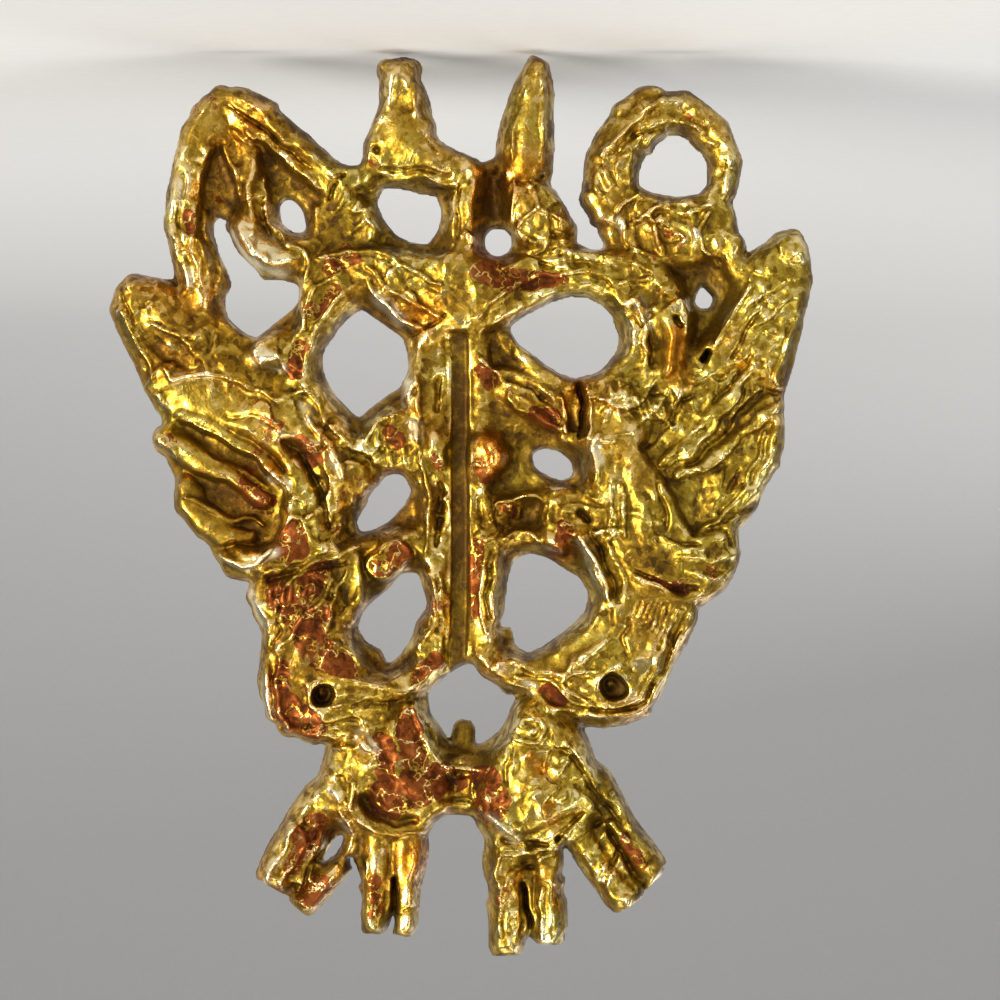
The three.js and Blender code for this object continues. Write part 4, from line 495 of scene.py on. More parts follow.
for lift, *path in [
    (0.45, (-7.7, 51, 0.18), (-6.3, 52.5, 0.22), (-4.6, 53.1, 0.22), (-2.8, 53, 0.2)),
    (-0.45, (-8.2, 50.3, 0.2), (-6.8, 51.7, 0.26), (-5.4, 52.4, 0.28), (-3.8, 52.4, 0.24), (-2.9, 52, 0.2)),
    (0.5, (-4.2, 52.5, 0.16), (-3.2, 51.5, 0.2), (-2.2, 50.3, 0.2)),
    (0.4, (-6.4, 53.1, 0.16), (-4.8, 53.7, 0.2), (-3.4, 54.4, 0.18), (-2.7, 55.6, 0.16)),
    (0.4, (-2.75, 52.6, 0.14), (-2.65, 55.6, 0.16), (-2.7, 58.6, 0.14)),
    (0.3, (-3.8, 58.2, 0.14), (-3.9, 56.4, 0.16), (-3.5, 54.6, 0.14)),
    (0.3, (-3.5, 59, 0.5), (-3.4, 58.8, 0.5)),
    (0.4, (-5.3, 59, 0.14), (-5.4, 57, 0.16), (-5.5, 55.2, 0.14)),
    (0.25, (-6.3, 57.4, 0.35), (-6.1, 56.6, 0.35)),
    (0.35, (-6.9, 49.4, 1.1), (-5.4, 49.6, 1.6), (-4.6, 48.4, 1.2)),
    (0.4, (-9.3, 48.9, 0.16), (-8, 46.8, 0.2), (-6.9, 45.2, 0.18)),
    (-0.35, (-8.7, 48.6, 0.14), (-7.5, 46.8, 0.16), (-6.5, 45.6, 0.14)),
    (0.3, (-2.2, 50.4, 0.3), (-1.8, 48.9, 0.35), (-2.3, 47.2, 0.3)),
    (-0.35, (-3.1, 48.6, 0.14), (-3, 47.2, 0.16), (-3.6, 46, 0.14)),
    (0.4, (-5.7, 44.9, 0.18), (-5.1, 45.6, 0.2), (-4, 45.6, 0.2), (-3.5, 44.9, 0.18), (-4.1, 44, 0.18),
     (-5.2, 44.2, 0.18), (-5.7, 44.8, 0.18)),
    (0.3, (-4.9, 45, 0.24), (-4.7, 44.9, 0.24)),
    (0.3, (-4.3, 44.5, 0.2), (-4.1, 44.4, 0.2)),
    (0.45, (2.2, 51.5, 0.2), (4, 51.8, 0.24), (5.5, 51.5, 0.24), (6.5, 50.9, 0.24), (6.9, 50, 0.24),
     (6.9, 48.4, 0.22)),
    (-0.4, (2.8, 50.8, 0.3), (4.2, 50.9, 0.42), (5.4, 50.4, 0.42), (6.3, 49.3, 0.3)),
    (0.4, (3.6, 50.4, 0.16), (4.8, 50, 0.18), (5.6, 49.3, 0.18), (6, 48.6, 0.16)),
    (0.25, (3, 48.8, 0.6), (3.9, 47.4, 0.7), (4.4, 46, 0.5)),
    (0.35, (4.9, 46.9, 0.2), (6, 47.1, 0.22), (5.4, 46.3, 0.2)),
    (0.5, (7.1, 51.6, 0.2), (7.2, 50.8, 0.25), (7.7, 50.2, 0.2)),
    (0.4, (7.9, 49.4, 0.35), (8.1, 48.9, 0.35)),
    (0.5, (5.7, 46.1, 0.3), (6.1, 45.3, 0.35)),
    (0.35, (7, 46, 0.2), (8.4, 46.1, 0.24)),
    (0.55, (-1.4, 47.6, 0.18), (0.4, 47.5, 0.2), (1.2, 47.3, 0.2), (1.9, 46.2, 0.2), (2.4, 44.4, 0.2),
     (3, 43.2, 0.18)),
    (-0.3, (-1, 49.6, 0.2), (0.2, 49.4, 0.25), (1.2, 49.6, 0.2)),
    (0.4, (-1.9, 50.2, 0.16), (-0.9, 49.4, 0.2), (-1.2, 48.2, 0.18)),
    (-0.7, (-12.5, 55.4, 0.28), (-11.5, 54.2, 0.28), (-10.4, 52.7, 0.24), (-9.7, 51.4, 0.16)),
    (0.35, (-11.2, 56.5, 0.35), (-11.1, 55.9, 0.35)),
    (0.35, (-9.9, 54.3, 0.3), (-9.6, 53.9, 0.3)),
    (-0.4, (-10.6, 51.4, 0.12), (-9.8, 50, 0.14), (-9, 48.8, 0.12)),
    (0.3, (-11.3, 51.6, 0.14), (-10.4, 50, 0.16), (-9.6, 49, 0.14)),
    (-1, (-4.8, 59.4, 0.22), (-4.6, 57.2, 0.24), (-4.3, 55.2, 0.16)),
    (-1, (4.55, 58.6, 0.22), (4.4, 56.6, 0.26), (4.25, 54.9, 0.18)),
    (-0.5, (2.8, 56.7, 0.14), (3.6, 56.8, 0.18), (4.2, 57, 0.14)),
    (0.4, (6.15, 57.6, 0.14), (6.15, 55.4, 0.16), (6.1, 53.4, 0.14)),
    (0.3, (5.1, 57.2, 0.12), (4.95, 55.4, 0.14)),
    (-0.5, (10.5, 55.8, 0.16), (9.9, 54.5, 0.2), (9.2, 53.2, 0.2), (8.4, 51.8, 0.16)),
    (0.4, (9.4, 55, 0.14), (9.9, 54.9, 0.16), (9.3, 53.8, 0.16), (8.6, 53.9, 0.16), (8.1, 53.3, 0.14)),
    (0.4, (12.7, 54.8, 0.14), (11.7, 52.8, 0.16), (10.4, 50.6, 0.14)),
    (0.35, (11.7, 55.2, 0.14), (10.8, 53.6, 0.16), (9.6, 51.8, 0.14)),
    (-0.4, (10.8, 55.6, 0.14), (10.4, 56.2, 0.14)),
]:
    stroke(path, lift)
trim([(-4.8, 60.4, 0.3), (-4.72, 58.6, 0.12)])
trim([(4.6, 59.2, 0.25), (4.5, 57.4, 0.1)])
smooth([(5, 57.4), (6.1, 57.4), (6, 54.6), (5, 54.6)], 0.15)
smooth([(-12.8, 54.6), (-11.8, 54.4), (-10.6, 52.4), (-11.6, 52.4)], 0.2)
smooth([(2.8, 51.2), (5, 51.2), (6.4, 49.8), (5.8, 49.4), (4.4, 50.4), (2.8, 50.6)], 0.1)

# ring, spear and foot
for lift, *path in [
    (0.25, (-17.6, 9.6, 0.3), (-17.9, 7.4, 0.35), (-16.8, 4.9, 0.4), (-14.2, 3.4, 0.4), (-12, 4.2, 0.4),
     (-10, 6.4, 0.4)),
    (0.35, (-17, 6.4, 0.18), (-15.6, 5, 0.22), (-14.2, 4.7, 0.2)),
    (0.4, (-13.6, 3.2, 0.16), (-12.2, 4.6, 0.2), (-10.8, 5.8, 0.2), (-9.4, 7, 0.18)),
    (-0.35, (-13, 5.2, 0.14), (-11.8, 5.6, 0.18), (-10.4, 6.8, 0.16)),
    (0.4, (-9.9, 8.8, 0.55), (-9.6, 8, 0.5)),
    (0.3, (-9.2, 10, 0.3), (-8.9, 9, 0.3)),
    (0.35, (-12, 9.6, 0.2), (-11, 10, 0.25), (-10.4, 10.8, 0.2)),
    (0.35, (-13.8, 9.9, 0.2), (-12.6, 10.8, 0.25), (-11.4, 11.4, 0.2)),
    (0.35, (-16.6, 10.4, 0.25), (-14.8, 10.6, 0.35), (-13.2, 10.4, 0.3)),
    (0.4, (-17, 14.4, 0.2), (-16.2, 13.4, 0.22), (-15.7, 12, 0.22), (-16.4, 11, 0.2)),
    (0.5, (-15.5, 12.6, 0.2), (-15.4, 11.8, 0.24)),
    (-0.3, (-14.4, 12.4, 0.35), (-13.6, 12.4, 0.35)),
    (0.45, (-13.4, 13.3, 0.2), (-13, 12, 0.25), (-12.6, 11.2, 0.25)),
    (-0.3, (-12.2, 13, 0.3), (-11.9, 12.2, 0.35)),
    (0.35, (-14.8, 13.6, 0.14), (-12.4, 13.6, 0.16), (-11, 12.6, 0.16), (-10.8, 11.4, 0.14)),
    (0.4, (-7.3, 11.8, 0.2), (-6.4, 10.9, 0.22), (-5.2, 10.4, 0.22), (-4.2, 11, 0.2), (-3.6, 12, 0.16)),
    (0.4, (-5.2, 10.4, 0.22), (-4.8, 9.4, 0.22), (-4.5, 8.8, 0.2)),
    (0.35, (-6.6, 10.1, 0.2), (-5.8, 9.3, 0.22), (-4.8, 8.7, 0.2)),
    (0.35, (-3.3, 11.6, 0.16), (-3.5, 9.8, 0.2), (-3.6, 8.6, 0.16)),
    (-0.5, (-7.2, 12.5, 0.35), (-6.4, 12.5, 0.4)),
    (0.4, (-5, 12.7, 0.3), (-4.5, 12.5, 0.3)),
    (-0.7, (-5.7, 8.35, 0.14), (-5, 8.35, 0.18), (-3.6, 8.3, 0.16)),
    (0.35, (-5.5, 7.9, 0.16), (-4.4, 8, 0.18), (-3.4, 7.9, 0.16)),
    (0.3, (-5.6, 7.4, 0.16), (-5.65, 5, 0.18), (-5.4, 2, 0.14)),
    (0.3, (-3.5, 7.6, 0.16), (-3.6, 5.4, 0.18), (-4.4, 2.6, 0.14)),
    (-0.4, (-4.9, 7.3, 0.16), (-4.8, 6.4, 0.24), (-4.9, 6, 0.16)),
    (0.35, (-0.9, 12.8, 0.25), (-0.8, 10.6, 0.3), (-1, 8.6, 0.25)),
    (-0.35, (0, 12.6, 0.16), (0.1, 10.6, 0.2), (0, 9, 0.16)),
    (0.3, (0.8, 12, 0.22), (0.9, 9.9, 0.22)),
    (0.35, (0.2, 8.9, 0.2), (2.2, 8.6, 0.22), (4.4, 8.5, 0.22), (5.8, 9.1, 0.2)),
    (-0.4, (0.6, 8.2, 0.16), (3, 8, 0.18), (5, 7.9, 0.16)),
    (0.3, (1.4, 7.3, 1), (3.2, 6.6, 1.3), (3.8, 5.4, 1)),
    (-0.7, (5.4, 6.8, 0.25), (5.5, 6.4, 0.25)),
    (0.35, (6, 7.2, 0.16), (5.9, 6.2, 0.18), (5, 4.4, 0.16)),
    (0.3, (2, 5.6, 0.2), (2.8, 4.2, 0.2), (3, 2.4, 0.16)),
]:
    stroke(path, lift)
smooth([(1, 7.7), (5.2, 7.4), (5.2, 5.4), (4.4, 4.2), (3.2, 4.4), (2.2, 6.2)], 0.25)
smooth([(-5.9, 8), (-3, 8), (-3.2, 5), (-4.6, 1), (-5.6, 1)], 0.4)

# loops at the lower right: grooved diagonal bar, lumpy bright bar, straps round the sunk fields
for lift, *path in [
    (0.3, (8, 8.6, 0.25), (9.4, 7.4, 0.3), (11.6, 5.6, 0.35), (14.2, 3.2, 0.3)),
    (0.5, (9.2, 9.1, 0.18), (11, 7.7, 0.22), (12.6, 6.4, 0.22), (14, 5.3, 0.2)),
    (-0.45, (9.6, 8, 0.14), (11.4, 6.5, 0.16), (13.4, 4.9, 0.2), (15.4, 3.5, 0.14)),
    (0.3, (10.2, 8.1, 0.12), (12.4, 6.1, 0.14), (14.6, 4.5, 0.14)),
    (-0.6, (7.7, 8.2, 0.14), (8.3, 8.9, 0.16), (8.8, 9.6, 0.14)),
    (0.35, (7.9, 10.4, 0.35), (7.4, 9.4, 0.35)),
    (0.35, (5.9, 10.4, 0.2), (6.8, 10.6, 0.22), (6.6, 9.6, 0.2)),
    (0.3, (5.4, 12, 0.2), (6.2, 11, 0.22), (6.9, 12, 0.2)),
    (0.4, (17.1, 15.4, 0.35), (17.5, 13.2, 0.4), (17.2, 10.4, 0.3), (17, 8, 0.3), (16.2, 6.6, 0.3)),
    (0.3, (18.6, 14, 0.2), (19, 11.4, 0.25), (18.7, 8.6, 0.2)),
    (-0.3, (18.3, 13.4, 0.14), (18.4, 11, 0.16), (18.1, 8.4, 0.14)),
    (0.4, (16.2, 16.2, 0.14), (15.7, 14.6, 0.16), (16.2, 12.8, 0.16), (16.8, 10.8, 0.14)),
    (0.4, (13.4, 12.2, 0.25), (13.9, 10, 0.3), (13.6, 8, 0.3), (13.4, 6.6, 0.25)),
    (0.35, (12.4, 12, 0.16), (12.9, 9.8, 0.18), (13, 7.6, 0.16)),
    (0.5, (14.4, 9.6, 0.16), (14.8, 7.8, 0.2), (15.5, 6.2, 0.2)),
    (0.3, (13.2, 5.8, 0.25), (14.2, 5.9, 0.3), (15.2, 5.2, 0.25)),
    (0.45, (10.9, 13.9, 0.6), (12.6, 14.2, 0.8), (13.8, 13, 0.75), (14.4, 11.6, 0.6)),
    (0.4, (10, 14.9, 0.16), (10.1, 13.4, 0.2), (11.4, 12.7, 0.2), (12.6, 11.4, 0.16)),
    (0.4, (10.2, 18.6, 0.16), (10.4, 16.2, 0.2), (10.1, 14.6, 0.16)),
]:
    stroke(path, lift)
trim([(10.9, 11.3, 0.8), (11.2, 10.5, 0.78)])
smooth([(15.4, 5.8), (17.4, 7), (17.9, 5), (17, 3.2), (15.6, 3)], 0.3)
for level, *points in [
    (1.4, (10.4, 9.8), (12.2, 9.8), (13, 8), (12.9, 6.9), (11.6, 8)),
    (1.5, (15.4, 10.9), (16.6, 10.8), (16.8, 9.5), (16.6, 7.9), (16.1, 7), (15.8, 6.8), (15.4, 7.7),
     (15.1, 9)),
    (1.5, (-17.6, 15.2), (-16.7, 14.4), (-15.4, 14.6), (-15.5, 17.2), (-16.2, 18.4), (-17.1, 17.4)),
]:
    floor(points, level)


# the wax was thumbed and scraped: tipped patches with thin raised edges, wandering threads and small pits
def patches(seed, size, tip, edge, wide):
    """Patches about size wide, each tipped its own way, with a raised edge between them."""
    left, below = 28, 5  # the patches begin this far outside the map
    spots = np.random.default_rng(seed).random((int(75 / size), int(60 / size), 4))
    px, pz = X + 0.3 * size * lumps(seed + 1, size), Z + 0.3 * size * lumps(seed + 2, size)
    col, row = ((px + left) / size).astype(int), ((pz + below) / size).astype(int)
    first, second, tipped = np.full(X.shape, 1e9), np.full(X.shape, 1e9), np.zeros(X.shape)
    for dj in (-1, 0, 1):
        for di in (-1, 0, 1):
            s = spots[row + dj, col + di]
            dx = px + left - (col + di + s[..., 0]) * size
            dz = pz + below - (row + dj + s[..., 1]) * size
            away = np.hypot(dx, dz)
            closer = away < first
            second = np.where(closer, first, np.minimum(second, away))
            tipped = np.where(closer, 2 * tip * ((s[..., 2] - 0.5) * dx + (s[..., 3] - 0.5) * dz), tipped)
            first = np.minimum(first, away)
    return tipped + edge * unit(1 - ((second - first) / wide) ** 2) ** 1.5


worked = rough * np.clip((height - 1.3) / 1.2, 0.15, 1)
height += worked * patches(11, 2.6, 0.2, 0.09, 0.4) * np.clip(0.6 + 0.5 * lumps(18, 4), 0.1, 1)
height += worked * patches(17, 1.1, 0.24, 0.09, 0.3) * np.clip(0.5 + 0.6 * lumps(19, 3), 0.05, 1)
height += 0.2 * hill((outline - 0.8) / 0.2) * unit(0.45 + 0.6 * lumps(29, 1.8))
height += 0.14 * hill(lumps(23, 2.4) / 0.09) * unit(lumps(24, 3))
height -= worked * 0.12 * unit(-lumps(31, 0.5) - 1.4)
height += 0.06 * worked * lumps(37, 1.6)

# the bright nugget inside the right loop is craggy
NUGGET_X, NUGGET_Z, NUGGET_RADIUS, CRAG = 13.1, 13.1, 1.6, 0.3
crag = unit((NUGGET_RADIUS - np.hypot(X - NUGGET_X, Z - NUGGET_Z)) / 0.5)
height += crag * np.clip(0.4 * np.abs(lumps(103, 0.9)) - 0.25 + 0.08 * lumps(107, 0.5), -CRAG, CRAG)

# the trunk's groove is ploughed last, straight over its bed, and throws up a thin lip on each side
GROOVE_HALF, GROOVE_FLOOR, GROOVE_TOP, GROOVE_END, LIP_AT, LIP = 0.55, 1.95, 41.4, 18.8, 0.66, 0.34
across = np.abs(X + 0.06 - 0.2 * unit((Z - 36) / 4) + 0.03 * lumps(71, 4))
length = unit((GROOVE_TOP - Z) / 0.3) * unit((Z - GROOVE_END) / 0.3)
groove = unit((GROOVE_HALF - across) / 0.14) * length
height = height * (1 - groove) + (GROOVE_FLOOR + 0.03 * lumps(73, 1.5)) * groove
lips = hill((across - LIP_AT) / 0.1) * length
height += LIP * lips

# the eyes are pits pushed in with a round tool that left a bead off their middle and a broken lip round them
PIT_DEPTH, PIT_BEAD, PIT_LIP = 1.15, 0.45, 0.22
pits = np.zeros(X.shape)
for x, z, radius in [(-10.2, 42, 0.9), (8.9, 42.6, 0.74)]:
    away = np.hypot(X - x, Z - z) + 0.09 * lumps(83, 0.9)
    level = np.median(height[(away > radius + 0.35) & (away < radius + 0.65)])
    height = np.maximum(height, level * unit((radius + 0.55 - away) / 0.2))
    pit = unit((radius - away) / 0.2 + 0.5)
    bead = hill(np.hypot(X - x - 0.18, Z - z + 0.22) / 0.3)
    height = height * (1 - pit) + (level - PIT_DEPTH + PIT_BEAD * bead + 0.08 * lumps(97, 0.5)) * pit
    pits = np.maximum(pits, pit)
    height += PIT_LIP * hill((away - radius - 0.22) / 0.14) * unit(0.6 + 0.5 * lumps(89, 0.8))

# the outline is finished last: knots, burrs and bridges of metal added to it, and notches filed into it
for level, *path in [
    (2.6, (2.1, 5.4, 0.6), (2.8, 3.6, 0.75), (3.5, 2.2, 1), (4.1, 1.4, 1.05)),
    (3.1, (-4.4, 7.6, 1.5), (-4.5, 5.4, 1.5), (-4.8, 3.2, 1.15), (-5.2, 1.1, 0.7)),
    (2.7, (3.5, 1.6, 1), (4.4, 1.3, 1)),
    (2.5, (-16.7, 6.3, 0.5), (-15.6, 5.3, 0.5)),
    (2.6, (-12.4, 6.3, 0.45), (-13.3, 5.4, 0.45)),
    (3, (12.2, 43.6, 0.9), (12.6, 41.5, 0.85)),
    (2.8, (11, 45, 0.55), (11.6, 44.5, 0.6)),
    (2.6, (-12.2, 43.8, 0.5), (-11.2, 44.2, 0.5)),
    (2.6, (-20.8, 27.2, 0.4), (-21.1, 25.4, 0.5), (-21, 24, 0.5)),
    (2.8, (-18.1, 13, 0.85), (-18, 12.6, 0.9)),
    (2.6, (-9.6, 10.8, 1), (-9.2, 9.6, 1)),
    (2.5, (-12.9, 3.2, 1.1), (-11.2, 4.4, 1.2)),
    (2.5, (-14.6, 3.5, 0.9), (-15.8, 3.9, 0.9)),
    (2.5, (16.9, 4, 0.95), (15.4, 3.1, 1)),
    (2.7, (5.1, 6.3, 0.5), (5.7, 6.1, 0.5)),
    (3.3, (15.6, 28, 0.75), (17.6, 27, 0.85), (19.4, 25.9, 0.9)),
    (3, (12.3, 37.9, 0.9), (13, 36.6, 0.9)),
    (3.3, (11.9, 13.9, 0.85), (13.1, 13.3, 1.1), (14.2, 12.1, 1), (14.9, 11.4, 0.75)),
    (2.8, (-6.25, 58.2, 0.75), (-6.2, 56.4, 0.7)),
    (2.8, (-13, 54.3, 0.6), (-12.4, 55.3, 0.3)),
]:
    limb(path, level)
for path in [
    [(-7.1, 54.6, 0.42), (-7.2, 53.6, 0.25)], [(6.9, 55, 0.42), (6.95, 53.7, 0.16)],
    [(-1.2, 54.4, 0.55), (-1.3, 56.4, 0.55)], [(-1.5, 58.8, 0.5), (-1.5, 57.6, 0.4)],
    [(19.2, 5, 0.4), (19.5, 7.2, 0.4)], [(9.6, 5.2, 0.5), (11.6, 3.6, 0.5)],
    [(-16.3, 16.4, 0.72), (-16.25, 16.35, 0.72)], [(8, 52.2, 0.18), (8.7, 53.5, 0.28)],
    [(11.3, 11.2, 0.72), (11.2, 10.5, 0.7)], [(-20.9, 30.4, 0.5), (-21.4, 29, 0.5)],
    [(17.9, 32.3, 0.5), (19.2, 30.6, 0.4)], [(19.6, 14.9, 0.35), (21.6, 14, 0.4)],
    [(-8.3, 12.2, 0.42), (-8.9, 12, 0.4)], [(-8.4, 11, 0.3), (-7.7, 10, 0.4)],
]:
    trim(path)

# its skin: upright sides with a little draft, rounded over at the rims
ROUNDED, DRAFT, BLEND = 0.7, 0.15, 0.3
CELL, DEPTH_CELL = 0.13, 0.26
outline = outline + 0.05 * lumps(41, 1.2) + 0.14
height = np.clip(height, 0.5, None) * (0.5 + 0.5 * np.sqrt(1 - (1 - unit(outline / ROUNDED)) ** 2))
gx = np.arange(-24.3, 24.3, CELL)
gz = np.arange(-0.8, 61, CELL)
gy = -np.arange(-1, 21) * DEPTH_CELL


def at(field, x, z):
    """A map read between its points."""
    i, j = (x - xs[0]) / PX, (z - zs[0]) / PX
    i0 = np.clip(i.astype(int), 0, len(xs) - 2)
    j0 = np.clip(j.astype(int), 0, len(zs) - 2)
    u, v = i - i0, j - j0
    low = field[j0, i0] * (1 - u) + field[j0, i0 + 1] * u
    high = field[j0 + 1, i0] * (1 - u) + field[j0 + 1, i0 + 1] * u
    return low * (1 - v) + high * v


def surface(field):
    """Surface nets: a corner in each cell that the surface crosses, a face over each crossed edge."""
    shape = tuple(n - 1 for n in field.shape)
    size = int(np.prod(shape))
    total, count, faces = np.zeros((3, size)), np.zeros(size), []
    for axis in range(3):
        low, high = [slice(None)] * 3, [slice(None)] * 3
        low[axis], high[axis] = slice(0, -1), slice(1, None)
        f0, f1 = field[tuple(low)], field[tuple(high)]
        crossed = (f0 > 0) != (f1 > 0)
        edge = np.argwhere(crossed)
        point = edge.astype(float)
        point[:, axis] += f0[crossed] / (f0[crossed] - f1[crossed])
        ring = []
        for du, dv in ((0, 0), (-1, 0), (-1, -1), (0, -1)):
            cell = edge.copy()
            cell[:, (axis + 1) % 3] += du
            cell[:, (axis + 2) % 3] += dv
            flat = np.ravel_multi_index(tuple(cell.T), shape)
            count += np.bincount(flat, minlength=size)
            for k in range(3):
                total[k] += np.bincount(flat, weights=point[:, k], minlength=size)
            ring.append(flat)
        ring = np.array(ring).T
        ring[f0[crossed] <= 0] = ring[f0[crossed] <= 0][:, ::-1]
        faces.append(ring)
    used = count > 0
    order = np.cumsum(used) - 1
    return (total[:, used] / count[used]).T, order[np.concatenate(faces)]


def placed(name, data):
    """A new object in the scene."""
    piece = bpy.data.objects.new(name, data)
    bpy.context.collection.objects.link(piece)
    return piece


def baked(piece):
    """A smooth mesh of the piece with its modifiers worked in."""
    mesh = bpy.data.meshes.new_from_object(piece.evaluated_get(bpy.context.evaluated_depsgraph_get()))
    mesh.shade_smooth()
    piece.modifiers.clear()
    return mesh


grid = np.meshgrid(gx, gz, indexing="ij")
side, top = at(outline, *grid)[:, None, :], at(height, *grid)[:, None, :]
depth = -gy[None, :, None]
wall, cap = side - DRAFT * depth, top - depth
blend = np.clip(BLEND - np.abs(wall - cap), 0, None) ** 2 / (4 * BLEND)
corners, quads = surface(np.minimum(np.minimum(wall, cap) - blend, depth))
corners = np.stack([
    gx[0] + corners[:, 0] * CELL,
    gy[0] - corners[:, 1] * DEPTH_CELL,
    gz[0] + corners[:, 2] * CELL - HALF,
], 1)
# the second axis of the grid runs towards the front, so every face is turned over
mesh = bpy.data.meshes.new("casting_relief")
mesh.from_pydata((corners * MM).tolist(), [], quads[:, ::-1].tolist())
casting = placed("casting_relief", mesh)
# the flat back needs far fewer faces than the relief
BACK_CUT, RELIEF_KEPT = 0.93, 0.46
flat = corners[:, 1] > -0.01
casting.vertex_groups.new(name="back").add(np.flatnonzero(flat).tolist(), 1, "REPLACE")
flat_share = float(flat[quads].all(1).mean())
for name, ratio, group in [("thin", 1 - BACK_CUT * flat_share, "back"), ("even", RELIEF_KEPT, "")]:
    cut = casting.modifiers.new(name, "DECIMATE")
    cut.ratio, cut.vertex_group = ratio, group
made = baked(casting)
casting.vertex_groups.clear()
casting.data = made

# where hands and cloth rub it, the brass is bright, and the hollows and sides keep a dark patina; ridges,
# rims and raised parts are also painted lighter as painted highlight, and hollows and low parts painted
# darker as painted shade
place = np.empty(len(made.vertices) * 3)
made.vertices.foreach_get("co", place)
place = place.reshape(-1, 3) / MM
px, pz, depth = place[:, 0], place[:, 2] + HALF, -place[:, 1]


def here(field):
    """A map read at every corner of the mesh."""
    return at(field, px, pz)


cover = blurred((outline > 0).astype(float), 0.8)
around = blurred(np.where(outline > 0, height, 0), 0.8) / np.maximum(cover, 0.15)
level, inset, calm = here(height), here(outline), here(rough)
ridge = np.clip((level - here(blurred(height, 0.28))) / 0.1, -0.5, 1)
swell = np.clip((level - here(around)) / 0.9, -1, 1)
sunk = 1 - unit(level - 1)
flank = unit((0.62 - inset) / 0.2)
rim = hill((inset - 0.72) / 0.13) * unit(0.5 + 0.6 * here(lumps(61, 1.5)))
crease = np.clip(0.7 + 0.4 * here(lumps(67, 1.4)), 0.1, 1.2)
# painted highlight on ridges, rims and raised parts, and painted shade in hollows and low parts, on top of
# the wear and patina
rub_and_painted_light = 0.43 + 0.22 * ridge * crease * (0.35 + 0.65 * calm) + 0.22 * swell - 0.12 * sunk - 0.05 * (1 - calm)
rub_and_painted_light = rub_and_painted_light * (1 - flank) + (0.33 + 0.1 * here(lumps(59, 0.8))) * flank + 0.1 * rim * (1 - sunk)
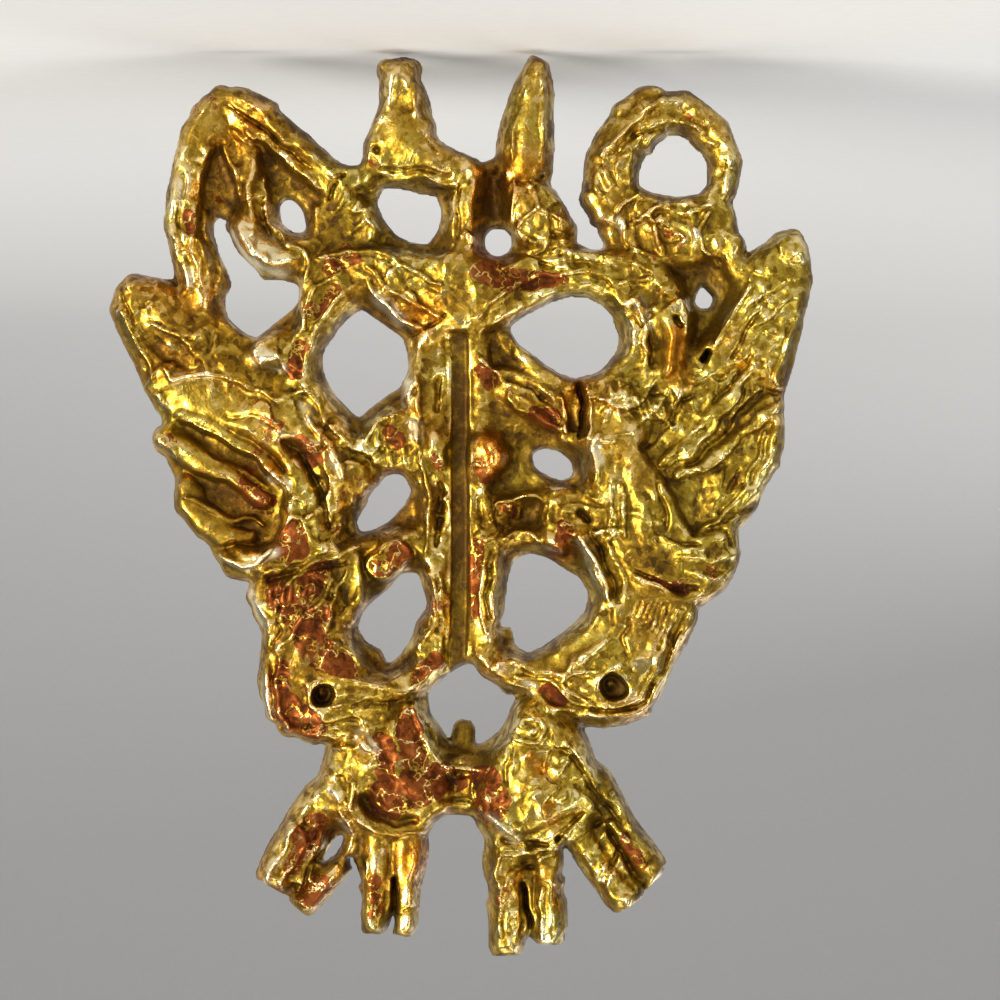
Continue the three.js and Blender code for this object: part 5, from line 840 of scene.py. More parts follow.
# listed spots: gold, partly rubbed brass and partly painted highlight; dull, partly tarnish and partly
# painted shade; copper-coloured; amber; and pale, which are painted highlights
gold, dull_and_painted_shade, copper, amber, pale = (np.zeros(X.shape) for _ in range(5))
for field, spots in [
    (gold, [
        [(-6.4, 49.6, 1.4), (-5, 47.4, 1.3)], [(-5.9, 46.2, 0.8), (-5, 45.4, 0.6)],
        [(-11.2, 56.4, 0.6), (-9.8, 54.2, 0.6)], [(-12.2, 40.4, 0.9), (-11.2, 38.2, 1)],
        [(-9.2, 39, 0.7), (-6.4, 40.6, 0.7)], [(-3.4, 41, 0.7), (-1.9, 40, 0.6)],
        [(-2, 39.4, 0.5), (-2, 34.4, 0.5)], [(-9.6, 35.6, 0.6), (-8.2, 33, 0.6)],
        [(-13.8, 42, 0.4), (-12.4, 44, 0.4)], [(2.4, 45.8, 0.5), (1.6, 46.4, 0.4)],
        [(4.4, 46.9, 0.5), (7.2, 47.6, 0.6)], [(12.6, 43.6, 0.5), (13, 41.2, 0.5)],
        [(1, 37.6, 0.5), (1, 33.4, 0.5)], [(3.2, 53.6, 0.6), (5.6, 52.8, 0.6)],
        [(12.4, 54.4, 0.3), (10.6, 51.2, 0.4)], [(-19.9, 28.4, 0.5), (-20.2, 25.6, 0.5)],
        [(-17.6, 25.6, 0.5), (-14.4, 27.6, 0.5)], [(-12.4, 25.4, 0.9), (-10.2, 23.2, 1.2)],
        [(-10.6, 30.4, 0.8), (-9.6, 25.6, 0.7)], [(-18.8, 20.8, 0.8), (-20.8, 16.4, 1)],
        [(-22.3, 13.6, 0.8), (-22, 13, 0.7)], [(-9.9, 13.8, 0.7), (-6.2, 13.8, 0.8)],
        [(-12.2, 19.6, 0.6), (-11.4, 16.8, 0.6)], [(-14.8, 11.6, 0.5), (-11.6, 11.8, 0.5)],
        [(-10, 9, 0.8), (-10, 6.8, 0.8)], [(-17.6, 8, 0.4), (-17, 5.2, 0.5)],
        [(-5.4, 11.6, 0.6), (-4, 10.2, 0.6)], [(-4.9, 6.8, 0.6), (-5.2, 2.6, 0.5)],
        [(2.8, 6.4, 0.8), (4.8, 5.4, 0.9)], [(4, 3, 0.6), (4.2, 1.2, 0.6)],
        [(15.2, 4.4, 1.1), (17, 4.6, 0.9)], [(17.9, 13.6, 0.5), (18, 6.8, 0.6)],
        [(12.2, 24.6, 1), (17.6, 22.6, 1)], [(16.6, 27.4, 0.6), (19.4, 26, 0.7)],
        [(11.2, 28.8, 0.3), (13.4, 26.8, 0.4), (15.8, 25.3, 0.4), (18.4, 24.2, 0.3)],
        [(5.6, 26.9, 0.6), (7.6, 25.2, 0.5)], [(7.6, 24.4, 0.4), (9.6, 22.4, 0.4)],
        [(1.6, 14.4, 0.7), (4, 13.9, 0.5)], [(2.2, 25.4, 0.4), (3.6, 24, 0.4)],
        [(-2.1, 27.8, 0.6), (-2, 26, 0.6)], [(1.2, 21.4, 0.5), (1.4, 18, 0.5)],
        [(16.6, 34.4, 0.3), (13.2, 33.8, 0.4)], [(10.8, 32.2, 0.5), (11.2, 30, 0.5)],
        [(16.2, 14.6, 0.4), (16.6, 16, 0.4)],
    ]),
    (dull_and_painted_shade, [
        [(-12.6, 53.4, 0.7), (-9.4, 48.8, 0.7)], [(-6.2, 57.6, 0.5), (-6, 54.8, 0.5)],
        [(-17.6, 34.6, 0.9), (-14.4, 35.6, 0.8)], [(-13, 33.8, 1.2), (-11.8, 33.2, 1)],
        [(-17.8, 32.6, 0.7), (-16.2, 33, 0.7)], [(-16.2, 29.6, 0.6), (-17.8, 27.6, 0.5)],
        [(-21, 23.4, 0.5), (-16.6, 25, 0.4)], [(-12.8, 26.8, 0.4), (-11.8, 27.8, 0.4)],
        [(-16.6, 15, 0.9), (-13.8, 14.8, 0.7)], [(-3.6, 21.4, 0.6), (-2.2, 19.2, 0.6)],
        [(-3.8, 24.4, 0.5), (-2.2, 23, 0.5)], [(-1.8, 11.4, 0.7), (-1.8, 9.2, 0.7)],
        [(-13.2, 7.8, 0.4), (-15.2, 4.2, 0.4)], [(-18.4, 11.8, 0.5), (-18, 9.6, 0.4)],
        [(-2.2, 31, 0.6), (-3, 29.4, 0.5)], [(-5.6, 31.4, 0.6), (-5.2, 29.4, 0.6)],
        [(-7.2, 34.2, 0.5), (-4, 32.6, 0.5)], [(1.9, 31.2, 0.5), (1.8, 29.2, 0.5)],
        [(1.1, 25.4, 0.4), (1.2, 23.2, 0.4)], [(2.2, 38.6, 0.5), (2, 35.2, 0.5)],
        [(4.6, 36.2, 0.7), (6.4, 34.2, 0.5)], [(7, 36.8, 0.5), (8, 33.4, 0.6)],
        [(14.4, 31.4, 0.9), (17.2, 29.6, 1)], [(12.6, 28.4, 0.4), (15.6, 26.5, 0.5), (18.2, 24.8, 0.4)],
        [(13.4, 30.3, 0.6), (17.4, 28.2, 0.4)], [(19.8, 20.8, 0.8), (21.2, 18.6, 0.6)],
        [(22.2, 16.2, 0.5), (21.4, 15.4, 0.4)], [(15.8, 20.4, 0.7), (18, 18.2, 0.8)],
        [(6.2, 13, 0.7), (8.2, 11.2, 1.2)], [(9, 10.4, 0.7), (11, 8.6, 0.6)],
        [(15.2, 10.4, 0.8), (15.8, 7.4, 0.6)], [(8.2, 7.8, 0.5), (13.4, 4.4, 0.6)],
        [(4.2, 19, 0.5), (5.4, 16.8, 0.5)], [(9.2, 20.6, 0.5), (8.2, 18.4, 0.5)],
        [(10.8, 35.4, 0.6), (8.8, 35.8, 0.5)], [(5.6, 43.6, 0.5), (6.8, 42.6, 0.5)],
        [(2.6, 51.2, 0.4), (6.2, 50, 0.5)], [(1.2, 9.8, 0.4), (2.2, 7.9, 0.4)],
        [(-1, 48.6, 0.6), (0.8, 48.8, 0.6)], [(7, 52.6, 0.4), (7.6, 54.6, 0.4)],
    ]),
    (copper, [
        [(-1.1, 37.2, 0.5), (-1.05, 32.6, 0.5)], [(-2.2, 49.8, 1.1), (-1.8, 48, 0.9)],
        [(1.8, 48.4, 1.2), (4.6, 49.2, 1.5)], [(0.8, 48, 0.8), (-0.2, 48.4, 0.5)],
        [(3, 47, 1), (3.2, 44.4, 1)], [(4.8, 47.4, 0.8), (4.9, 45.6, 0.7)],
        [(5.5, 56.8, 0.5), (5.5, 54.8, 0.5)], [(9.6, 44.6, 0.9), (11.2, 43.4, 1)],
        [(11.6, 42.2, 0.7), (11.6, 40.6, 0.5)], [(7.2, 40.9, 0.7), (8.8, 40.1, 1), (9.8, 38.6, 1.2)],
        [(10.4, 37.4, 1.1), (12, 35.8, 0.8)], [(9, 37.6, 0.5), (8.6, 36.8, 0.4)],
        [(1.6, 40.4, 0.6), (2.6, 41, 0.6)], [(3.9, 33.2, 0.8), (5, 34.1, 0.8)],
        [(12.8, 29.9, 0.8), (14, 28.9, 0.5)], [(10.6, 33, 0.7), (10.7, 31.6, 0.6)],
        [(11, 21.4, 0.6), (10.4, 19.8, 0.5)], [(8.2, 15.9, 0.6), (9.6, 17.4, 0.6)],
        [(-6.6, 15, 0.5), (-3.4, 15.4, 0.8), (-1.6, 14.8, 0.8)], [(17.6, 12, 0.4), (17.7, 10.8, 0.4)],
        [(-7, 31.6, 0.6), (-6.8, 32.4, 0.5)], [(-6.2, 24.6, 0.6), (-5, 24, 0.5)],
        [(-3.6, 30.6, 0.5), (-3.2, 30.2, 0.5)], [(-1.7, 28.2, 0.4), (-1.6, 27.2, 0.4)],
        [(-2, 21.8, 0.6), (-1.4, 21.2, 0.5)], [(10.9, 53.8, 0.8), (9.6, 51, 0.9)],
        [(8.8, 55, 0.7), (10, 56, 0.7)], [(-12, 53.6, 0.5), (-11, 52.2, 0.5)],
        [(-6.9, 43.1, 0.4), (-5.6, 42.3, 0.4)], [(10.2, 36.6, 0.7), (12, 36.8, 0.5)],
        [(9.8, 35.4, 0.8), (8.8, 34, 0.6)], [(11.4, 33.4, 0.6), (11.2, 32, 0.7)],
        [(9.4, 27, 0.5), (10.4, 25.8, 0.5)], [(4, 26, 0.5), (4.4, 25.4, 0.5)],
        [(6.8, 13.9, 0.5), (8.6, 14.2, 0.5)], [(1.4, 26.9, 0.4), (1.3, 27.6, 0.35)],
        [(-14.8, 35.5, 0.3), (-12.6, 34.9, 0.3)], [(-18.2, 28.6, 0.3), (-18, 28, 0.35)],
    ]),
    (amber, [
        [(-14.8, 21.8, 0.9), (-14, 18.8, 0.8)], [(-2.4, 27.6, 1), (-2, 26, 0.9)],
        [(-7.2, 33.4, 0.7), (-6.4, 33.2, 0.6)], [(-6.4, 51, 0.6), (-5.8, 50, 0.6)],
        [(-5.4, 47.4, 0.5), (-4.6, 46.6, 0.5)],
    ]),
    # pale spots: painted highlights, glints of a lamp put into the colour
    (pale, [
        [(11.6, 14.2, 0.7), (13.1, 13.4, 1.1), (14.2, 12.1, 0.9)], [(3.4, 23.2, 0.35), (3.4, 22, 0.3)],
        [(2.9, 25.6, 0.4), (2.9, 24.8, 0.35)], [(-9.2, 27.2, 0.35), (-8.9, 26, 0.4)],
        [(-12.3, 18.2, 0.25), (-12, 16.9, 0.4)], [(5.7, 45.9, 0.4), (6.2, 45.2, 0.4)],
        [(8, 49.2, 0.3), (8.2, 48.9, 0.3)], [(11.8, 20.9, 0.4), (13, 20.2, 0.6)],
        [(-9.5, 34.6, 0.2), (-8.2, 32.5, 0.3)], [(7.7, 28.2, 0.2), (8.2, 26.8, 0.2)],
        [(11.2, 28.8, 0.3), (12.2, 28.1, 0.3)], [(12.4, 43.8, 0.3), (12.8, 41.6, 0.2)],
        [(12.9, 37.8, 0.2), (13.6, 36, 0.3)], [(12, 33, 0.3), (14, 34.1, 0.3)],
        [(-4.7, 42.2, 0.3), (-4.4, 42, 0.3)], [(-3.7, 52.2, 0.2), (-2.2, 50.4, 0.2)],
        [(7.2, 51.6, 0.25), (7.6, 50.8, 0.25)], [(16.4, 21.3, 0.2), (18.6, 21.8, 0.2)],
        [(4, 17.8, 0.3), (5.4, 16.2, 0.3)], [(18.5, 10.2, 0.2), (18.4, 8.8, 0.25)],
        [(17.9, 15.6, 0.25), (17.9, 14.9, 0.25)], [(-5.6, 59.2, 0.2), (-5.4, 57.4, 0.2)],
        [(-13.3, 54.6, 0.25), (-13, 54.9, 0.25)], [(9.8, 24.6, 0.3), (10.4, 23.6, 0.3)],
        [(-10.6, 11.6, 0.2), (-10.4, 11.3, 0.2)], [(-15.5, 12.3, 0.25), (-15.4, 11.9, 0.25)],
        [(12.8, 55, 0.15), (12, 53.4, 0.15)],
    ]),
]:
    for spot in spots:
        win, away, size = near(spot, 1.6)
        field[win] = np.maximum(field[win], unit((size - away) / 0.3 + 0.5))
copper = np.maximum(copper, 0.42 * unit(1.6 * lumps(47, 2) - 2 + 0.03 * X))
tone = np.clip(0.45 + 0.3 * lumps(53, 2.6) + 0.012 * X + 1.1 * amber, 0, 1.5)
# gold spots lighten as wear and painted highlight, dull spots darken as tarnish and painted shade, pale
# spots are painted highlights
rub_and_painted_light = rub_and_painted_light + 0.2 * here(pale) + 0.13 * here(blurred(gold, 0.35)) - 0.13 * here(blurred(dull_and_painted_shade, 0.35))
# the groove and the pits are painted dark, partly dirt and partly painted shade, and their lips are painted
# bright, partly rubbed and partly painted highlight
ploughed = here(groove)
rub_and_painted_light = rub_and_painted_light * (1 - ploughed) + (0.06 + 0.03 * here(lumps(79, 1.2))) * ploughed + 0.2 * here(lips)
rub_and_painted_light -= 0.22 * here(pits)
copper *= 1 - np.maximum(groove, pits)
even = unit(np.maximum(ploughed, 0.75 * (1 - calm)) + 0.5 * sunk)
# nothing rubs the back, which is one even brown
behind = unit((0.3 - depth) / 0.15)
front = 1 - behind
rub_and_painted_light = rub_and_painted_light * front + (0.46 + 0.05 * here(lumps(101, 3))) * behind
flank, even = np.maximum(flank, 0.5 * behind), np.maximum(even, behind)
# the first attribute holds brightness with painted highlight and painted shade, copper, tone, and in alpha
# the painted highlights of the pale spots
for name, channels in [
    ("wear_and_painted_light", [rub_and_painted_light, here(copper) * front, here(tone) * front + 0.3 * behind, here(pale) * front]),
    ("sides", [flank, even, flank, flank]),
]:
    painted = made.color_attributes.new(name, "FLOAT_COLOR", "POINT")
    painted.data.foreach_set("color", np.stack(channels, 1).astype(np.float32).ravel())
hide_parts("casting")
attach(casting, "brooch")


# Brass of the casting: golden where rubbed and where highlights are painted, coppery in places, brown to
# black in the hollows, partly patina and partly painted shade.
# The skin is pitted and crusty at a tenth of a millimetre, from the wax and the investment.
def fed(node, **sockets):
    """The node with settings, constants and links, named as its sockets are, or numbered as i0, i1."""
    for key, value in sockets.items():
        spot = int(key[1:]) if key[0] == "i" and key[1:].isdigit() else key.replace("_", " ")
        if isinstance(value, bpy.types.NodeSocket):
            node.id_data.links.new(value, node.inputs[spot])
        elif key.islower() and hasattr(node, key):
            setattr(node, key, value)
        else:
            node.inputs[spot].default_value = value
    return node


class Finish:
    """A new node material and short ways of adding nodes to it. Each gives back an output to link."""

    def __init__(self, name):
        self.material = bpy.data.materials.new(name)
        self.material.use_nodes = True
        self.nodes = self.material.node_tree.nodes
        self.where = self.add("TexCoord", "Object")

    def add(self, kind, out=0, **sockets):
        return fed(self.nodes.new("ShaderNode" + kind), **sockets).outputs[out]

    def painted(self, name):
        """Red, green and blue of a colour attribute."""
        colour = self.add("Attribute", "Color", attribute_name=name)
        return self.add("SeparateColor", Color=colour).node.outputs

    def noise(self, scale, detail, roughness=0.5, out=0, **sockets):
        return self.add("TexNoise", out, **{"Vector": self.where, "Scale": scale, "Detail": detail,
                                            "Roughness": roughness, **sockets})

    def math(self, operation, *values):
        return self.add("Math", operation=operation, **{f"i{n}": value for n, value in enumerate(values)})

    def total(self, value, *others):
        for other in others:
            value = self.math("ADD", value, other)
        return value

    def mapped(self, value, low, high, start, end):
        return self.add("MapRange", Value=value, From_Min=low, From_Max=high, To_Min=start, To_Max=end)

    def mix(self, share, under, over, blend="MIX"):
        return self.add("Mix", 2, data_type="RGBA", blend_type=blend, i0=share, i6=under, i7=over)

    def ramp(self, value, stops):
        """A colour ramp fed by a value, with its stops as (place, colour)."""
        colour = self.add("ValToRGB", Fac=value)
        band = colour.node.color_ramp.elements
        while len(band) < len(stops):
            band.new(0.5)
        for element, (spot, tint) in zip(band, stops):
            element.position, element.color = spot, (*tint, 1)
        return colour

    def bump(self, strength, distance, height, **under):
        return self.add("Bump", Strength=strength, Distance=distance, Height=height, **under)

    def shaded(self, **sockets):
        """The material, once its shader has been fed."""
        fed(self.nodes["Principled BSDF"], **sockets)
        return self.material


CHIP_SCALE = 2200
brass = Finish("antique_brass")
worn_and_painted_light, coppery, toned = brass.painted("wear_and_painted_light")
aside, evened, _ = brass.painted("sides")
grain = brass.noise(2600, 6, 0.62)
blotch = brass.noise(900, 5, 0.6, Distortion=0.6)
speckle, cloud = brass.mapped(grain, 0.3, 0.7, -0.11, 0.11), brass.mapped(blotch, 0.3, 0.7, -0.16, 0.16)
# the skin flakes off in bent chips with dark seams, less where it is even
pull = brass.add("VectorMath", operation="SCALE", i0=brass.noise(1500, 3, out="Color"), Scale=0.0009)
bent = brass.add("VectorMath", i0=brass.where, i1=pull)
chip = brass.add("SeparateColor", Color=brass.add("TexVoronoi", "Color", Vector=bent, Scale=CHIP_SCALE))
seam = brass.add("TexVoronoi", Vector=bent, Scale=CHIP_SCALE, feature="DISTANCE_TO_EDGE")
flake = brass.math("MULTIPLY", brass.mapped(chip, 0, 1, -0.22, 0.2), brass.mapped(evened, 0, 1, 1, 0.15))
# copper shows with a ragged edge and thin veins, and the brass beside it is a little brighter
torn, broken = brass.mapped(blotch, 0.3, 0.7, -0.4, 0.3), brass.mapped(chip, 0, 1, -0.25, 0.2)
ragged = brass.total(coppery, torn, broken)
vein = brass.math("MULTIPLY", brass.math("COMPARE", brass.noise(520, 4, 0.6), 0.5, 0.014), coppery)
reddened = brass.mapped(brass.math("SUBTRACT", ragged, vein), 0.4, 0.52, 0, 1)
lip = brass.math("MULTIPLY", brass.math("SUBTRACT", 1, reddened), coppery)
seamed, lipped = brass.mapped(seam, 0, 0.08, 0.09, 0), brass.mapped(lip, 0, 1, 0, 0.14)
bright = brass.total(worn_and_painted_light, speckle, cloud, flake, seamed, lipped)
gold = brass.ramp(bright, [
    (0.02, (0.062, 0.031, 0.003)),
    (0.22, (0.145, 0.081, 0.007)),
    (0.42, (0.275, 0.172, 0.015)),
    (0.64, (0.475, 0.338, 0.05)),
    (0.94, (0.88, 0.715, 0.32)),
])
red = brass.ramp(bright, [
    (0.05, (0.045, 0.012, 0.003)),
    (0.4, (0.135, 0.034, 0.007)),
    (0.85, (0.31, 0.09, 0.02)),
])
olive = brass.mix(toned, gold, (1, 0.8, 0.75, 1), "MULTIPLY")
honey = brass.mix(brass.mapped(toned, 1, 1.4, 0, 0.8), olive, (1.1, 0.72, 0.25, 1), "MULTIPLY")
# the pale spots are painted highlights, mixed towards pale cream in the base colour
painted_highlight_share = brass.mapped(brass.add("Attribute", "Alpha", attribute_name="wear_and_painted_light"), 0, 1, 0, 0.6)
metal_share, dulled = brass.mapped(bright, 0.1, 0.4, 0.87, 1), brass.mapped(aside, 0, 1, 1, 0.55)
gloss, matt = brass.mapped(bright, 0.15, 0.75, 0.55, 0.24), brass.mapped(reddened, 0, 1, 0, 0.22)
crust = brass.add("TexVoronoi", Vector=brass.where, Scale=1500, feature="SMOOTH_F1")
coarse = brass.bump(0.2, 0.00012, crust, Normal=brass.bump(0.15, 0.00006, grain))
casting.data.materials.append(brass.shaded(
    Base_Color=brass.mix(painted_highlight_share, brass.mix(reddened, honey, red), (0.95, 0.86, 0.58, 1)),
    Metallic=brass.math("MULTIPLY", metal_share, dulled),
    Roughness=brass.math("ADD", gloss, matt),
    Normal=brass.bump(0.4, 0.00025, blotch, Normal=coarse),
))

# Hinge bracket: a small brass plate with two drilled ears and a stop, behind the left dove's breast.
# It was sawn and filed from sheet, so its edges are eased, and it is bedded in a bead of soft solder.
HINGE_X, AXIS_Y, AXIS_Z = -13.5, 2.4, 2.7  # the rivet, and how far behind and above the origin the pin lies


def eased(node, width):
    """A fitting's own form with its edges filed round, as a new piece."""
    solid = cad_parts[node]
    work = bmesh.new()
    work.from_mesh(solid.data)
    work.transform(solid.matrix_world)
    bmesh.ops.remove_doubles(work, verts=work.verts, dist=2e-6)
    bmesh.ops.dissolve_limit(work, angle_limit=0.03, verts=work.verts, edges=work.edges)
    mesh = bpy.data.meshes.new(node + "_filed")
    work.to_mesh(mesh)
    work.free()
    piece = placed(node + "_filed", mesh)
    bevel = piece.modifiers.new("filed", "BEVEL")
    bevel.width, bevel.segments, bevel.limit_method, bevel.angle_limit = width * MM, 3, "ANGLE", 0.55
    piece.data = baked(piece)
    piece.data.set_sharp_from_angle(angle=0.6)
    return piece


def circle(count):
    """The angles of that many points round a circle."""
    return [math.tau * k / count for k in range(count)]


def tube(rows, size, first=0, closed=False):
    """Faces between rows of as many points each, and if closed also from the last row to the first."""
    return [(first + r * size + i, first + r * size + (i + 1) % size,
             first + (r + 1) % rows * size + (i + 1) % size, first + (r + 1) % rows * size + i)
            for r in range(rows - (not closed)) for i in range(size)]


def shaped(name, points, faces):
    """A new smooth piece from points in millimetres."""
    mesh = bpy.data.meshes.new(name)
    mesh.from_pydata([tuple(c * MM for c in p) for p in points], [], faces)
    mesh.shade_smooth()
    return placed(name, mesh)


def skinned(name, rings):
    """A smooth skin over equal rings of points, closed at both ends."""
    rows, size = len(rings), len(rings[0])
    ends = [tuple(range(size))[::-1], tuple((rows - 1) * size + i for i in range(size))]
    piece = shaped(name, [p for ring in rings for p in ring], tube(rows, size) + ends)
    piece.data.set_sharp_from_angle(angle=0.8)
    return piece


def metal_finish(name, dark, light, scale, stretch, gloss):
    """A drawn or filed metal: cloudy tarnish and fine marks along one direction."""
    finish = Finish(name)
    cloud = finish.noise(700, 5, 0.6)
    marks = finish.noise(scale, 4, Vector=finish.add("Mapping", Vector=finish.where, Scale=stretch))
    both = finish.total(finish.mapped(marks, 0, 1, -0.2, 0.2), cloud)
    return finish.shaded(
        Base_Color=finish.ramp(both, [(0.3, dark), (0.62, light)]),
        Metallic=1,
        Roughness=finish.mapped(both, 0.3, 0.7, gloss + 0.18, gloss),
        Normal=finish.bump(0.3, 0.00003, marks, Normal=finish.bump(0.25, 0.00008, cloud)),
    )


filed_brass = metal_finish("filed_brass", (0.3, 0.185, 0.055), (0.72, 0.51, 0.2), 2200, (1, 1, 0.12), 0.24)
solder_grey = metal_finish("solder_grey", (0.24, 0.23, 0.21), (0.6, 0.58, 0.54), 1200, (1, 1, 1), 0.3)
bracket = eased("hinge_bracket", 0.07)
bracket.data.materials.append(filed_brass)
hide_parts("hinge_bracket")
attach(bracket, "brooch")

# Solder: the bead that has run out round both base plates, higher at the corners and never quite even.
# Each bead is a closed path with a wavering radius, swept by the same small node group.
run = bpy.data.node_groups.new("solder_run", "GeometryNodeTree")
for name, way, kind in [
    ("Path", "INPUT", "Geometry"), ("Radius", "INPUT", "Float"), ("Bead", "OUTPUT", "Geometry"),
]:
    run.interface.new_socket(name, in_out=way, socket_type="NodeSocket" + kind)
new, path_in = run.nodes.new, run.nodes.new("NodeGroupInput")
waver = fed(new("ShaderNodeTexNoise"), Scale=900)
thick = fed(new("ShaderNodeMapRange"), Value=waver.outputs[0],
            From_Min=0.3, From_Max=0.7, To_Min=0.7, To_Max=1.25)
girth = fed(new("ShaderNodeMath"), operation="MULTIPLY", i0=thick.outputs[0], i1=path_in.outputs["Radius"])
thread = fed(new("GeometryNodeSetCurveRadius"), Curve=path_in.outputs["Path"], Radius=girth.outputs[0])
ring = fed(new("GeometryNodeCurvePrimitiveCircle"), Resolution=14, Radius=1)
swept = fed(new("GeometryNodeCurveToMesh"),
            Curve=thread.outputs[0], Profile_Curve=ring.outputs[0], Scale=girth.outputs[0])
real = fed(new("GeometryNodeRealizeInstances"), i0=swept.outputs[0])
coat = fed(new("GeometryNodeSetMaterial"), Geometry=real.outputs[0], Material=solder_grey)
fed(new("NodeGroupOutput"), i0=coat.outputs[0])
BEAD_Y, BEAD_RADIUS, SQUARE, STEPS, CATCH_X = 0.07, 0.2, 0.3, 96, 10.6
for name, centre, half_x, half_z in [
    ("hinge_solder", HINGE_X, 2.12, 1.92), ("catch_solder", CATCH_X, 1.52, 1.52),
]:
    line = bpy.data.curves.new(name, "CURVE")
    line.dimensions = "3D"
    spline = line.splines.new("POLY")
    spline.use_cyclic_u = True
    spline.points.add(STEPS - 1)
    for point, turn in zip(spline.points, circle(STEPS)):
        c, s = math.cos(turn), math.sin(turn)
        x, z = half_x * math.copysign(abs(c) ** SQUARE, c), half_z * math.copysign(abs(s) ** SQUARE, s)
        point.co = ((centre + x) * MM, BEAD_Y * MM, (AXIS_Z + z) * MM, 1)
    path = placed(name, line)
    laid = path.modifiers.new("run", "NODES")
    laid.node_group = run
    laid[run.interface.items_tree["Radius"].identifier] = BEAD_RADIUS * MM
    mesh = baked(path)
    bpy.data.objects.remove(path)
    bead = placed(name, mesh)
    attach(bead, "brooch")

# Rivet: brass wire through the ears, its ends spread into low heads with a small hammer.
# The blows have left each head out of round and faceted.
dent = np.random.default_rng(5)
end = [(1.24, 0.4), (1.25, 0.6), (1.28, 0.69), (1.35, 0.7), (1.44, 0.65), (1.52, 0.52), (1.57, 0.34),
       (1.58, 0.12)]
rings = []
for z, radius in [(-z, radius) for z, radius in end[::-1]] + [(0, 0.4)] + end:
    head = abs(z) > 1.26
    ring = []
    for turn in circle(40):
        out = radius * (1 + head * (0.035 * math.sin(3 * turn + 2 * z) + 0.03 * math.sin(7 * turn + z)))
        ring.append((HINGE_X + out * math.cos(turn), AXIS_Y + out * math.sin(turn),
                     AXIS_Z + z - math.copysign(0.03, z) * head * dent.random()))
    rings.append(ring)
rivet = skinned("hinge_rivet_peened", rings)
rivet_brass = metal_finish("rivet_brass", (0.34, 0.22, 0.07), (0.8, 0.6, 0.28), 1500, (1, 1, 1), 0.2)
rivet.data.materials.append(rivet_brass)
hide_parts("hinge_rivet")
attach(rivet, "brooch")

# Pin: hard-drawn brass wire, flattened and drilled to an eye at the hinge and stoned to a point.
# A filed shoulder leads from the eye into the wire, which carries fine marks along its length.
EYE_END, SHOULDER, TAPER, POINT = -12.95, -11, 9.4, 13.38
taper = [(EYE_END, 0.56), (-12.4, 0.52), (-11.6, 0.45), (TAPER, 0.45),
         (10.9, 0.4), (12.2, 0.27), (13.1, 0.11), (13.4, 0.03)]
rings = []
for x in np.concatenate([
    np.linspace(EYE_END, SHOULDER - 0.4, 14),
    np.linspace(SHOULDER, TAPER, 40),
    np.linspace(TAPER + 0.2, POINT, 30),
]):
    radius = np.interp(x, *zip(*taper))
    flat = 1 + 0.16 * unit((-11.7 - x) / 0.9)
    rings.append([(x, AXIS_Y + radius / flat * math.cos(turn), AXIS_Z + radius * flat * math.sin(turn))
                  for turn in circle(36)])
pin = skinned("pin_stem_drawn", rings)
edge = [(0.47, -0.5), (0.52, -0.58), (0.6, -0.6), (0.84, -0.6), (0.91, -0.56), (0.95, -0.46)]
section = edge + [(radius, -z) for radius, z in edge[::-1]]
eye = shaped("pin_eye_drilled", [
    (HINGE_X + radius * math.cos(turn), AXIS_Y + radius * math.sin(turn), AXIS_Z + z)
    for turn in circle(48) for radius, z in section
], tube(48, len(section), closed=True))
wire_brass = metal_finish("wire_brass", (0.5, 0.36, 0.15), (0.86, 0.69, 0.39), 2600, (0.05, 1, 1), 0.16)
pin.data.materials.append(wire_brass)
eye.data.materials.append(wire_brass)
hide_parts("pin_stem")
for piece in (pin, eye):
    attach(piece, "pin")

# Catch base: a square plate and an open ring, bored and slit so that the pin drops in from behind.
# Its edges are filed round like the bracket's.
catch = eased("catch_base", 0.06)
catch.data.materials.append(filed_brass)
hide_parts("catch_base")
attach(catch, "brooch")

# Catch barrel: turned on the lathe, slotted for the pin, with a thumb lever whose knob is knurled.
# The knurls are short wires of brass set round the knob.
LEVER, KNOB_RADIUS, KNURLS = 2.5, 0.4, 14  # the knob stands at 45 degrees from the barrel's axis
wire = [(11.88, 0.02), (11.92, 0.06), (12.32, 0.06), (12.36, 0.02)]
turned_brass = metal_finish("turned_brass", (0.36, 0.235, 0.075), (0.8, 0.6, 0.27), 3000, (1, 0.1, 0.1), 0.2)
barrel = eased("catch_barrel", 0.05)
barrel.data.materials.append(turned_brass)
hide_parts("catch_barrel")
points, faces = [], []
for turn in circle(KNURLS):
    y = AXIS_Y + LEVER * math.cos(math.pi / 4) + KNOB_RADIUS * math.cos(turn)
    z = AXIS_Z + LEVER * math.sin(math.pi / 4) + KNOB_RADIUS * math.sin(turn)
    faces += tube(len(wire), 8, len(points))
    points += [(x, y + thin * math.cos(a), z + thin * math.sin(a)) for x, thin in wire for a in circle(8)]
knurling = shaped("barrel_knurling", points, faces)
knurling.data.materials.append(turned_brass)
for piece in (barrel, knurling):
    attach(piece, "barrel")

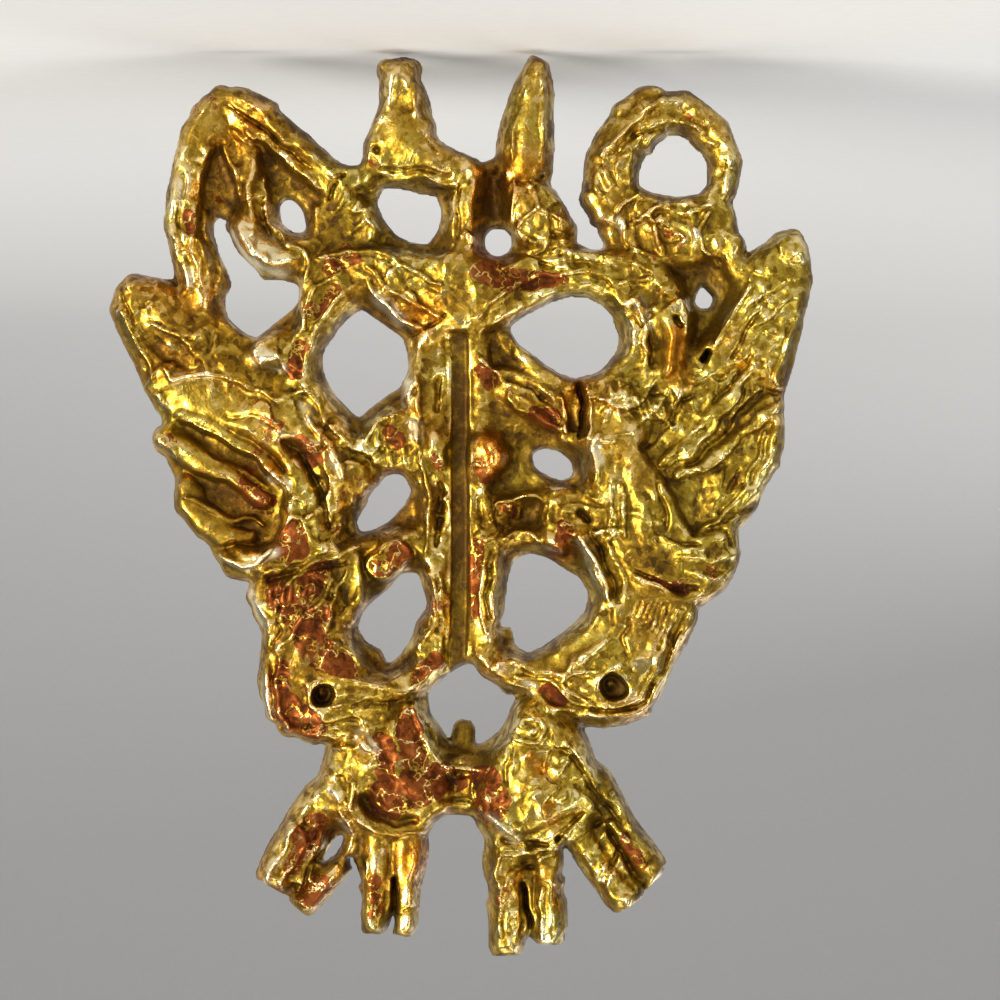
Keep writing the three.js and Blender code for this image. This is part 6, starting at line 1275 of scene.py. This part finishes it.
# Floor and light: a pale sweep of paper that the brooch stands on, and the studio round it.
# One broad soft lamp stands to its right, with a weaker fill, a lamp overhead and one behind.
profile = [(-1.2, 0), (0.35, 0)]
profile += [(0.35 + 0.9 * math.sin(a), 0.9 - 0.9 * math.cos(a)) for a in np.linspace(0.05, math.pi / 2, 40)]
profile += [(1.25, 2.4)]
points = [(x, y, z - HALF * MM) for y, z in profile for x in (-2.6, 2.6)]
sweep = bpy.data.meshes.new("floor")
sweep.from_pydata(points, [], [(2 * n, 2 * n + 1, 2 * n + 3, 2 * n + 2) for n in range(len(profile) - 1)])
sweep.shade_smooth()
paper = Finish("pale_paper")
sweep.materials.append(paper.shaded(
    Base_Color=paper.ramp(paper.noise(900, 2), [(0.3, (0.655, 0.645, 0.625)), (0.7, (0.675, 0.665, 0.645))]),
    Roughness=0.8,
))
floor_piece = placed("floor", sweep)

world = bpy.data.worlds.new("studio")
bpy.context.scene.world = world
world.use_nodes = True
fed(world.node_tree.nodes["Background"], Color=(0.72, 0.74, 0.78, 1), Strength=0.35)
for name, spot, size, power, colour in [
    ("key", (0.34, -0.34, 0.1), 0.3, 3.8, (1, 0.97, 0.9)),
    ("fill", (-0.45, -0.4, 0.3), 0.4, 1.5, (0.92, 0.95, 1)),
    ("overhead", (0, -0.1, 0.6), 0.5, 2, (1, 0.99, 0.97)),
    ("rear", (-0.28, 0.42, 0.3), 0.35, 0.8, (1, 0.99, 0.98)),
]:
    lamp = bpy.data.lights.new(name, "AREA")
    lamp.size, lamp.energy, lamp.color = size, power, colour
    light = placed(name, lamp)
    light.location = spot
    light.rotation_euler = (Vector() - Vector(spot)).to_track_quat("-Z", "Y").to_euler()

# Camera: square on to the front, as in the photograph, which shows the brooch upside down.
# So it is rolled by half a turn, and it stands far off, where the depth of the relief hardly shows.
FRAME_WIDTH, DISTANCE, SENSOR, AIM_X, AIM_Z = 66.67, 240, 36, -2.7, -0.27
lens = bpy.data.cameras.new("camera")
lens.sensor_width, lens.lens = SENSOR, SENSOR * DISTANCE / FRAME_WIDTH
lens.clip_start, lens.clip_end = 0.01, 10
camera = placed("camera", lens)
camera.location = (AIM_X * MM, -DISTANCE * MM, AIM_Z * MM)
camera.rotation_euler = (math.pi / 2, math.pi, 0)
bpy.context.scene.camera = camera
bpy.context.scene.view_settings.view_transform = "Standard"
